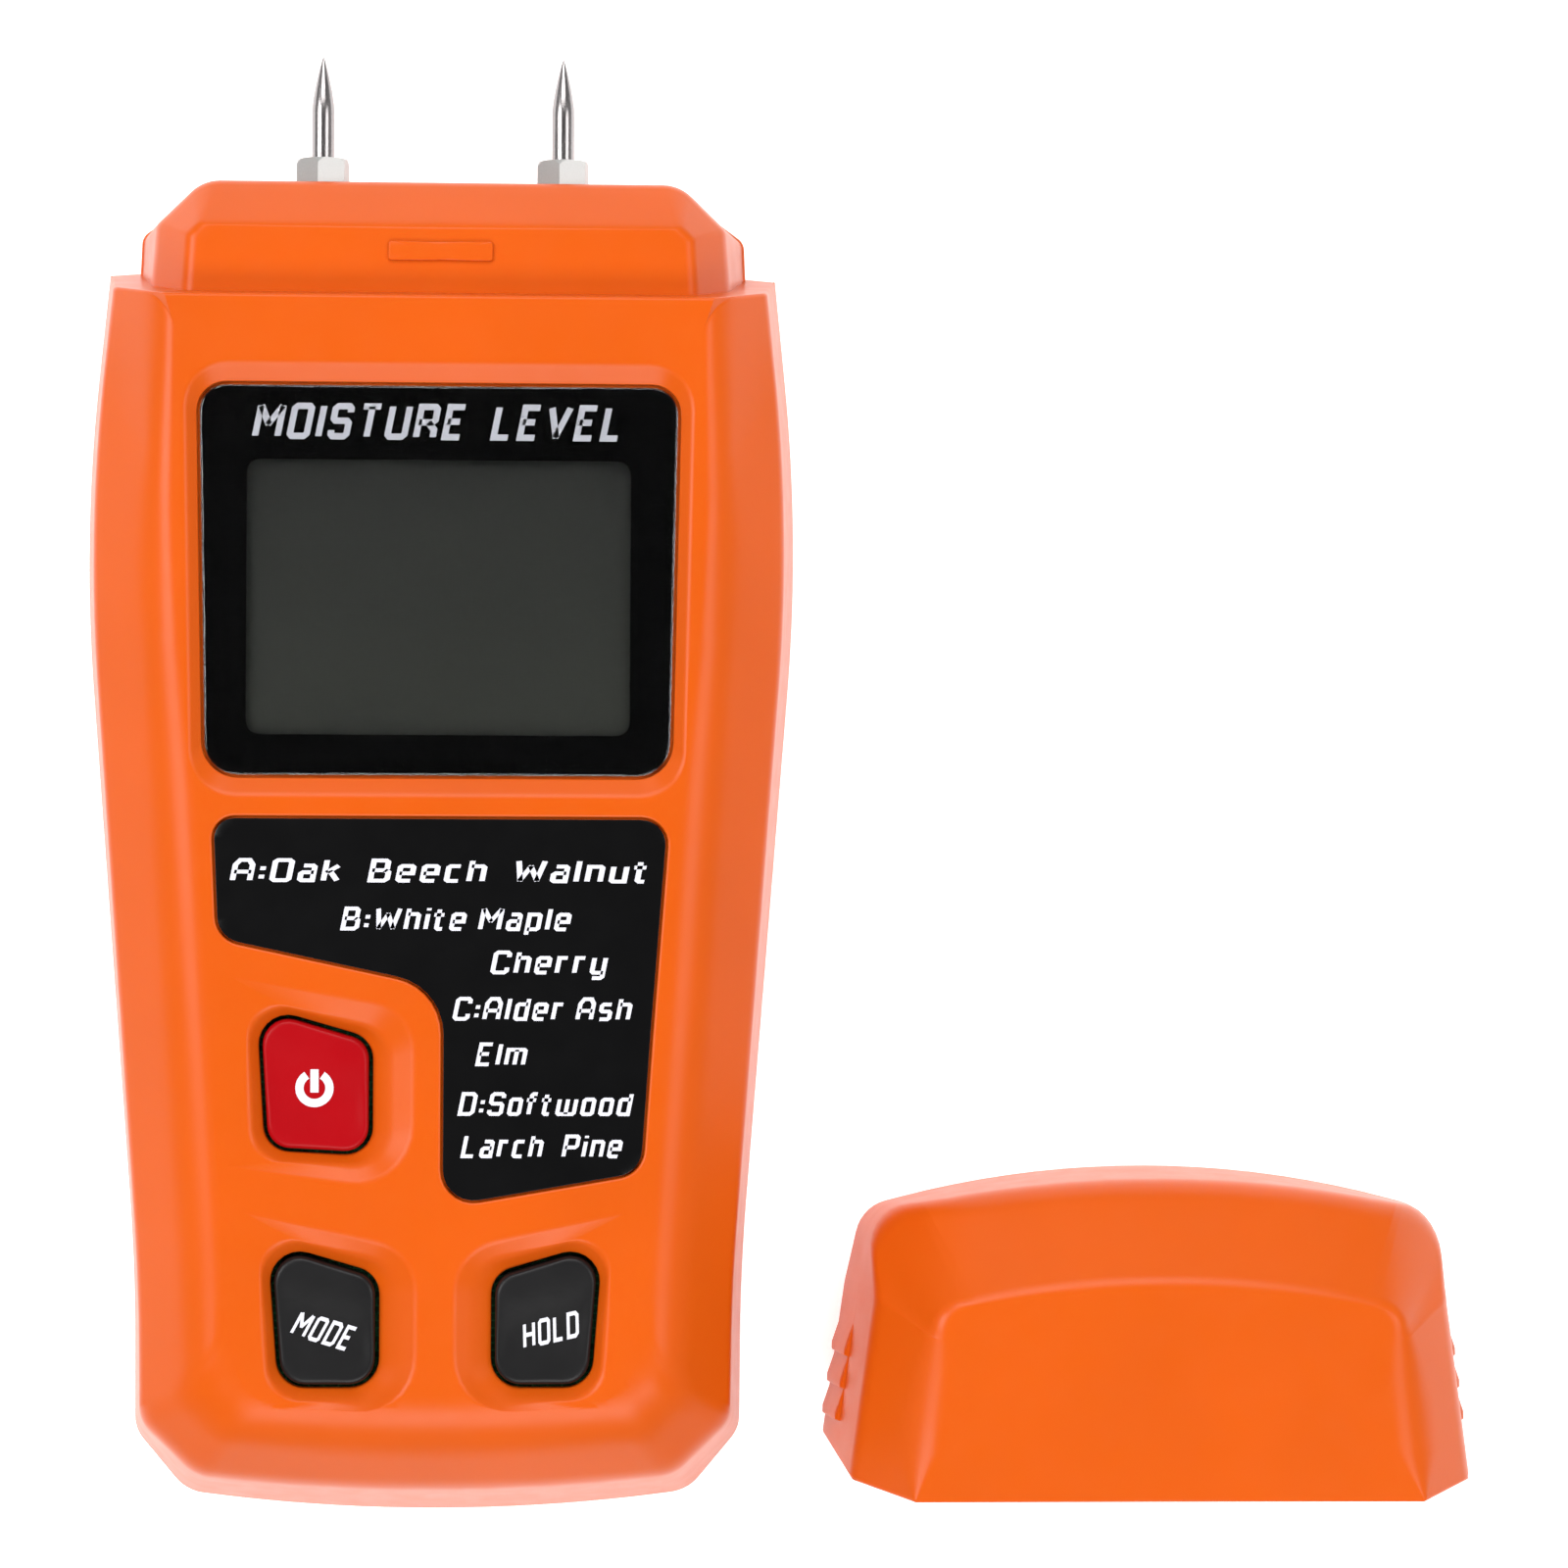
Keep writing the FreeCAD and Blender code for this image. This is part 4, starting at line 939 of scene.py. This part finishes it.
# ==== lettering =====================================================
# A letter is a width and its strokes, drawn through the middle of the ink on a grid
# that is 6 high from the foot of a capital to its top; small letters are 4.4 high.
LETTERS = {
    "A": (3.4, ["0,0 0,4.6 0.8,6 2.6,6 3.4,4.6 3.4,0", "0,2.5 3.4,2.5"]),
    "B": (3.3, ["0,3.1 2.5,3.1 2.9,3.6 2.9,5.5 2.4,6 0,6 0,0 2.7,0 3.3,0.6 3.3,2.5 2.5,3.1"]),
    "C": (3.2, ["3.2,4.6 3.2,5.5 2.7,6 0.5,6 0,5.5 0,0.5 0.5,0 2.7,0 3.2,0.5 3.2,1.5"]),
    "D": (3.3, ["0,0 0,6 2.6,6 3.3,5.3 3.3,0.7 2.6,0 0,0"]),
    "E": (2.9, ["2.9,6 0,6 0,0 2.9,0", "0,3.1 2.4,3.1"]),
    "H": (3.3, ["0,0 0,6", "3.3,0 3.3,6", "0,3.1 3.3,3.1"]),
    "I": (0.0, ["0,0 0,6"]),
    "L": (2.8, ["0,6 0,0 2.8,0"]),
    "M": (4.4, ["0,0 0,6", "0.1,6 2.3,2.2", "2.1,2.2 4.3,6", "4.4,6 4.4,0"]),
    "O": (3.3, ["0.5,0 0,0.5 0,5.5 0.5,6 2.8,6 3.3,5.5 3.3,0.5 2.8,0 0.5,0"]),
    "P": (3.2, ["0,0 0,6 2.7,6 3.2,5.5 3.2,3.2 2.7,2.7 0,2.7"]),
    "R": (3.3, ["0,0 0,6 2.7,6 3.2,5.5 3.2,3.4 2.7,2.9 0,2.9", "1.9,2.9 3.3,1.4 3.3,0"]),
    "S": (3.1, ["3.1,4.8 3.1,5.5 2.6,6 0.5,6 0,5.5 0,3.6 0.5,3.1 2.6,3.1 3.1,2.6 3.1,0.5 2.6,0 "
                "0.5,0 0,0.5 0,1.2"]),
    "T": (3.4, ["0,6 3.4,6", "1.7,6 1.7,0"]),
    "U": (3.3, ["0,6 0,0.5 0.5,0 2.8,0 3.3,0.5 3.3,6"]),
    "V": (3.6, ["0,6 1.9,0", "1.7,0 3.6,6"]),
    "W": (5.2, ["0,6 1,0", "0.8,0 2.7,4.6", "2.5,4.6 4.4,0", "4.2,0 5.2,6"]),
    "a": (2.5, ["0.3,4.4 2.1,4.4 2.5,4 2.5,0 0.4,0 0,0.4 0,2 0.4,2.4 2.5,2.4"]),
    "c": (2.3, ["2.3,4.4 0.4,4.4 0,4 0,0.4 0.4,0 2.3,0"]),
    "d": (2.6, ["2.6,6 2.6,0 0.4,0 0,0.4 0,4 0.4,4.4 2.6,4.4"]),
    "e": (2.6, ["0,2.2 2.6,2.2 2.6,4 2.2,4.4 0.4,4.4 0,4 0,0.4 0.4,0 2.4,0"]),
    "f": (1.8, ["1.8,6 0.8,6 0.4,5.6 0.4,0", "-0.7,4.2 1.7,4.2"]),
    "h": (2.6, ["0,0 0,6", "0,4.4 2.2,4.4 2.6,4 2.6,0"]),
    "i": (0.0, ["0,0 0,4.4", "0,5.5 0,6.2"]),
    "k": (2.7, ["0,0 0,6", "2.5,4.4 0.3,2.3", "0.9,2.9 2.7,0"]),
    "l": (0.0, ["0,0 0,6"]),
    "m": (4.4, ["0,0 0,4.4 4,4.4 4.4,4 4.4,0", "2.2,4.4 2.2,0"]),
    "n": (2.6, ["0,0 0,4.4 2.2,4.4 2.6,4 2.6,0"]),
    "o": (2.6, ["0.4,0 0,0.4 0,4 0.4,4.4 2.2,4.4 2.6,4 2.6,0.4 2.2,0 0.4,0"]),
    "p": (2.6, ["0,-1.6 0,4.4 2.2,4.4 2.6,4 2.6,0.4 2.2,0 0,0"]),
    "r": (1.9, ["0,0 0,4.4 1.9,4.4"]),
    "s": (2.4, ["2.4,4.4 0.4,4.4 0,4 0,2.7 0.4,2.3 2,2.3 2.4,1.9 2.4,0.4 2,0 0,0"]),
    "t": (1.8, ["0.4,5.8 0.4,0.4 0.8,0 1.8,0", "-0.7,4.2 1.7,4.2"]),
    "u": (2.6, ["0,4.4 0,0.4 0.4,0 2.6,0 2.6,4.4"]),
    "w": (4.4, ["0,4.4 0,0.4 0.4,0 4,0 4.4,0.4 4.4,4.4", "2.2,4.4 2.2,0"]),
    "y": (2.6, ["0,4.4 0,0.4 0.4,0 2.6,0", "2.6,4.4 2.6,-1.2 2.2,-1.6 0.3,-1.6"]),
    ":": (0.0, ["0,0.5 0,1.6", "0,3.0 0,4.1"]),
}
LETTER_HEIGHT = 6.0
LETTER_SPACE = 1.1
WORD_SPACE = 2.2
INK_THICKNESS = 0.02
KEY_CLEARANCE = 0.015       # keeps ink clear of a key's curved face


def stroke_edges(points, half, closed):
    """The two sides of a stroke with mitred bends."""
    count = len(points)
    left, right = [], []
    for i, place in enumerate(points):
        before = (place - points[i - 1]).normalized() if closed or i > 0 else None
        after = (points[(i + 1) % count] - place).normalized() if closed or i < count - 1 else None
        before = before or after
        after = after or before
        along = (before + after).normalized()
        normal = Vector((-along.y, along.x))
        reach = half / max(0.45, normal.dot(Vector((-after.y, after.x))))
        blunt = min(reach, 1.42 * half)
        turns_left = before.x * after.y - before.y * after.x > 0
        left.append(place + normal * (reach if turns_left else blunt))
        right.append(place - normal * (blunt if turns_left else reach))
    return left, right


def letter_strokes(words, weight):
    """The words' strokes as (left side, right side, closed), and their whole width."""
    strokes = []
    pen = weight / 2
    for letter in words:
        if letter == " ":
            pen += WORD_SPACE
            continue
        width, lines = LETTERS[letter]
        for line in lines:
            points = [Vector((float(x) + pen, float(y))) for x, y in
                      (pair.split(",") for pair in line.split())]
            closed = (points[0] - points[-1]).length < 0.01
            if closed:
                points.pop()
            strokes.append((*stroke_edges(points, weight / 2, closed), closed))
        pen += width + weight + LETTER_SPACE
    return strokes, pen - LETTER_SPACE - weight / 2


def split_long(places, closed):
    """The same points with two more on each run, so that a stroke can follow a curved face."""
    count = len(places)
    filled = []
    for i in range(count if closed else count - 1):
        here, there = places[i], places[(i + 1) % count]
        filled += [here.lerp(there, step / 3) for step in range(3)]
    return filled if closed else filled + [places[-1]]


def height_finder(key):
    """A function that gives the height of a finished key's face below a place."""
    shape = bmesh.new()
    shape.from_mesh(key.data)
    face = BVHTree.FromBMesh(shape)
    shape.free()

    def face_height(place):
        above = Vector((place.x, place.y, 2 * FRONT_Z)) * MM
        return face.ray_cast(above, Vector((0, 0, -1)))[0].z / MM

    return face_height


def ribbon(shape, left, right, closed):
    """Faces between two rows of points."""
    sides = [[shape.verts.new(p) for p in row] for row in (left, right)]
    count = len(sides[0])
    for i in range(count if closed else count - 1):
        j = (i + 1) % count
        shape.faces.new((sides[0][i], sides[1][i], sides[1][j], sides[0][j]))


def lettering(name, words, centre, width, height, z, body, slant=0.2, turn=0.0, weight=1.1, on=None):
    """Ink: capitals height tall, the words width wide in all, flat at z or lying on a key's face."""
    strokes, whole = letter_strokes(words, weight)
    grid = height / (LETTER_HEIGHT + weight)
    aspect = width / (whole * grid)
    turned = Matrix.Rotation(math.radians(turn), 2)
    face_height = height_finder(on) if on else None

    def placed(point):
        y = (point.y - LETTER_HEIGHT / 2) * grid
        x = (point.x - whole / 2) * grid * aspect + slant * y
        return turned @ Vector((x, y)) + Vector(centre)

    def lying(side, closed):
        places = split_long([placed(p) for p in side], closed)
        heights = [face_height(p) + KEY_CLEARANCE if on else z for p in places]
        return [(p.x, p.y, under + INK_THICKNESS) for p, under in zip(places, heights)]

    def build(shape):
        for left, right, closed in strokes:
            ribbon(shape, lying(left, closed), lying(right, closed), closed)

    return finished(mesh_object(name, build), body, INK, 40)


# words, middle x, middle y and width
LABEL_LINES = [("A:Oak  Beech  Walnut", 0.35, 2.55, 39.4), ("B:White Maple", 1.9, -2.0, 21.6),
               ("Cherry", 10.7, -6.1, 10.9), ("C:Alder Ash", 10.1, -10.5, 16.8),
               ("Elm", 6.25, -14.8, 4.7), ("D:Softwood", 10.4, -19.5, 16.3),
               ("Larch  Pine", 10.1, -23.5, 15.1)]
LABEL_CAPITALS = 2.25
TITLE_CAPITALS = 3.45
KEY_CAPITALS = 2.5


def printed_words(mode_key, hold_key):
    """The title on the window, the list on the label and the names on two keys."""
    print_z = WINDOW_LOW_Z + PRINT_TOP + 0.002
    lettering("title_text", "MOISTURE  LEVEL", (0.0, 45.1), 34.9, TITLE_CAPITALS, print_z, "meter",
              weight=1.25)
    for number, (words, x, y, width) in enumerate(LABEL_LINES):
        lettering(f"label_text_{number + 1}", words, (x, y), width, LABEL_CAPITALS, LABEL_TOP_Z, "meter")
    lettering("mode_text", "MODE", (-10.5, -41.1), 5.6, KEY_CAPITALS, 0, "mode_key", turn=-17, on=mode_key)
    lettering("hold_text", "HOLD", (11.0, -41.0), 5.4, KEY_CAPITALS, 0, "hold_key", turn=13, on=hold_key)


SYMBOL_CENTRE = Vector((-11.5, -18.1))
SYMBOL_RADIUS = 1.42
SYMBOL_HALF_STROKE = 0.39
SYMBOL_GAP = math.radians(31)
SYMBOL_BAR_TOP = 1.78
SYMBOL_BAR_LENGTH = 2.2
SYMBOL_RISE = 0.03
RING_STEPS = 32
BAR_STEPS = 6


def power_symbol(power_key):
    """A ring with a gap at the top and a bar in the gap, lying on the key's face."""
    face_height = height_finder(power_key)
    ring = []
    for step in range(RING_STEPS + 1):
        angle = math.pi / 2 + SYMBOL_GAP + (2 * math.pi - 2 * SYMBOL_GAP) * step / RING_STEPS
        ring.append(SYMBOL_CENTRE + Vector((math.cos(angle), math.sin(angle))) * SYMBOL_RADIUS)
    bar = []
    for step in range(BAR_STEPS + 1):
        bar.append(SYMBOL_CENTRE + Vector((0, SYMBOL_BAR_TOP - SYMBOL_BAR_LENGTH * step / BAR_STEPS)))

    def build(shape):
        for points in (ring, bar):
            rows = []
            for side in stroke_edges(points, SYMBOL_HALF_STROKE, False):
                rows.append([(p.x, p.y, face_height(p) + SYMBOL_RISE) for p in side])
            ribbon(shape, *rows, False)

    finished(mesh_object("power_symbol", build), "power_key", INK, 40)


# ==== the frame's own pieces ========================================
def dress_frame():
    """A procedural material for every CAD piece, by its slot in the record."""
    dark = moulded("dark_moulding", (0.02, 0.02, 0.021), 0.45).material
    buff = moulded("buff_plastic", (0.42, 0.34, 0.22), 0.5).material
    chip = moulded("chip_package", (0.012, 0.012, 0.013), 0.5, grain=8.0, grain_depth=0.01, shade=0.1).material
    tan = moulded("component_body", (0.22, 0.15, 0.09), 0.45, grain=2.0, grain_depth=0.01, shade=0.4).material
    vinyl = moulded("black_vinyl", (0.012, 0.012, 0.012), 0.35).material
    red_lead = moulded("red_insulation", (0.45, 0.012, 0.010), 0.35).material
    by_slot = {"display_frame": dark, "switch_case": dark, "plunger": buff, "chip": chip,
               "component": tan, "snap": vinyl, "lead_black": vinyl, "lead_red": red_lead,
               "screw": ZINC, "needle": NEEDLE_STEEL, "nut": NICKEL, "terminal": BRASS,
               "battery_can": battery_jacket(), "board": board_laminate(),
               "contact_strip": layered_rubber(), "display_glass": display_cell(),
               "housing": ORANGE, "window": ACRYLIC, "label": LABEL_FILM,
               "power_key": RED_RUBBER, "black_key": BLACK_RUBBER}
    slots = {part["node"]: part["material_slot"] for part in frame["record"]["subparts"]}
    for node, piece in frame["nodes"].items():
        paint = by_slot[slots[node]]
        for holder in piece.material_slots:
            holder.material = paint
        if not piece.material_slots:
            piece.data.materials.append(paint)


# ==== studio ========================================================
PICTURE_Y = 10.8
CAMERA_X = 8.0
AIM_X = 27.8
CAMERA_HEIGHT = 456.8
LENS = 103.9
FRAMING_SHIFT = 0.04
ROLL = 0.29
SENSOR_WIDTH = 36.0
LIGHT_AIM = Vector((35.0, 10.0, 0))
FLOOR_REACH = 3000
FLOOR_THICKNESS = 5.0
# the surroundings' brightness, and the shares of their height where they stop being white and turn dark
WORLD_STRENGTH = 0.42
WHITE_BELOW = 0.35
DARK_ABOVE = 0.72
# name, place and size in metres, and watts
LAMPS = [("left_box", (-0.76, 0.18, 1.02), (0.6, 0.6), 11.0),
         ("right_box", (0.86, 0.05, 1.02), (0.6, 0.6), 6.0),
         ("top_box", (0.0, 0.84, 1.02), (0.9, 0.5), 10.5),
         ("near_box", (0.12, -0.84, 1.02), (0.9, 0.5), 11.0)]


def camera():
    """Above the meter, turned a little towards the cap so that both fill the picture."""
    data = bpy.data.cameras.new("camera")
    data.lens = LENS
    data.sensor_width = SENSOR_WIDTH
    data.shift_x = FRAMING_SHIFT
    data.clip_start = 0.01
    data.clip_end = 20.0
    made = bpy.data.objects.new("camera", data)
    made.location = Vector((CAMERA_X, PICTURE_Y, CAMERA_HEIGHT)) * MM
    turn = math.atan2(AIM_X - CAMERA_X, CAMERA_HEIGHT - PARTING_Z)
    made.rotation_euler = (0, -turn, math.radians(ROLL))
    bpy.context.scene.collection.objects.link(made)
    bpy.context.scene.camera = made


def floor():
    """A pale floor, bright enough to read as white."""
    paint = Paint("pale_floor")
    paint.colour(paint.ramp(paint.noise(0.01), [(0.3, (0.90, 0.90, 0.90)), (0.7, (0.93, 0.93, 0.93))]))
    paint.set(Roughness=0.9, Specular_IOR_Level=0.1)
    paint.set(Emission_Color=(1, 1, 1, 1), Emission_Strength=0.5)
    across = (-FLOOR_REACH, FLOOR_REACH)
    piece = block("floor", across, across, (-FLOOR_THICKNESS, 0.0))
    piece.data.transform(Matrix.Scale(MM, 4))
    piece.data.materials.append(paint.material)


def soft_box(name, place, size, power):
    """A rectangular lamp, in metres and watts, that faces the middle of the picture."""
    data = bpy.data.lights.new(name, "AREA")
    data.shape = "RECTANGLE"
    data.size = size[0]
    data.size_y = size[1]
    data.energy = power
    made = bpy.data.objects.new(name, data)
    made.location = place
    made.rotation_euler = (LIGHT_AIM * MM - Vector(place)).to_track_quat("-Z", "Y").to_euler()
    bpy.context.scene.collection.objects.link(made)


def studio():
    """Surroundings that are white low down and dark above, with soft boxes round the lens."""
    world = bpy.data.worlds.new("studio")
    bpy.context.scene.world = world
    world.use_nodes = True
    tree = world.node_tree
    place = tree.nodes.new("ShaderNodeTexCoord")
    split = tree.nodes.new("ShaderNodeSeparateXYZ")
    ramp = tree.nodes.new("ShaderNodeValToRGB")
    ramp.color_ramp.elements[0].position = WHITE_BELOW
    ramp.color_ramp.elements[0].color = (1, 1, 1, 1)
    ramp.color_ramp.elements[1].position = DARK_ABOVE
    ramp.color_ramp.elements[1].color = (0.02, 0.02, 0.02, 1)
    tree.links.new(place.outputs["Generated"], split.inputs[0])
    tree.links.new(split.outputs["Z"], ramp.inputs["Fac"])
    tree.links.new(ramp.outputs["Color"], tree.nodes["Background"].inputs["Color"])
    tree.nodes["Background"].inputs["Strength"].default_value = WORLD_STRENGTH
    for name, place, size, power in LAMPS:
        soft_box(name, place, size, power)
    bpy.context.scene.view_settings.view_transform = "Standard"


# ==== the scene =====================================================
camera()
floor()
studio()
dress_frame()
front_shell()
cap()
pins()
window()
label()
power_key, mode_key, hold_key = keys()
printed_words(mode_key, hold_key)
power_symbol(power_key)
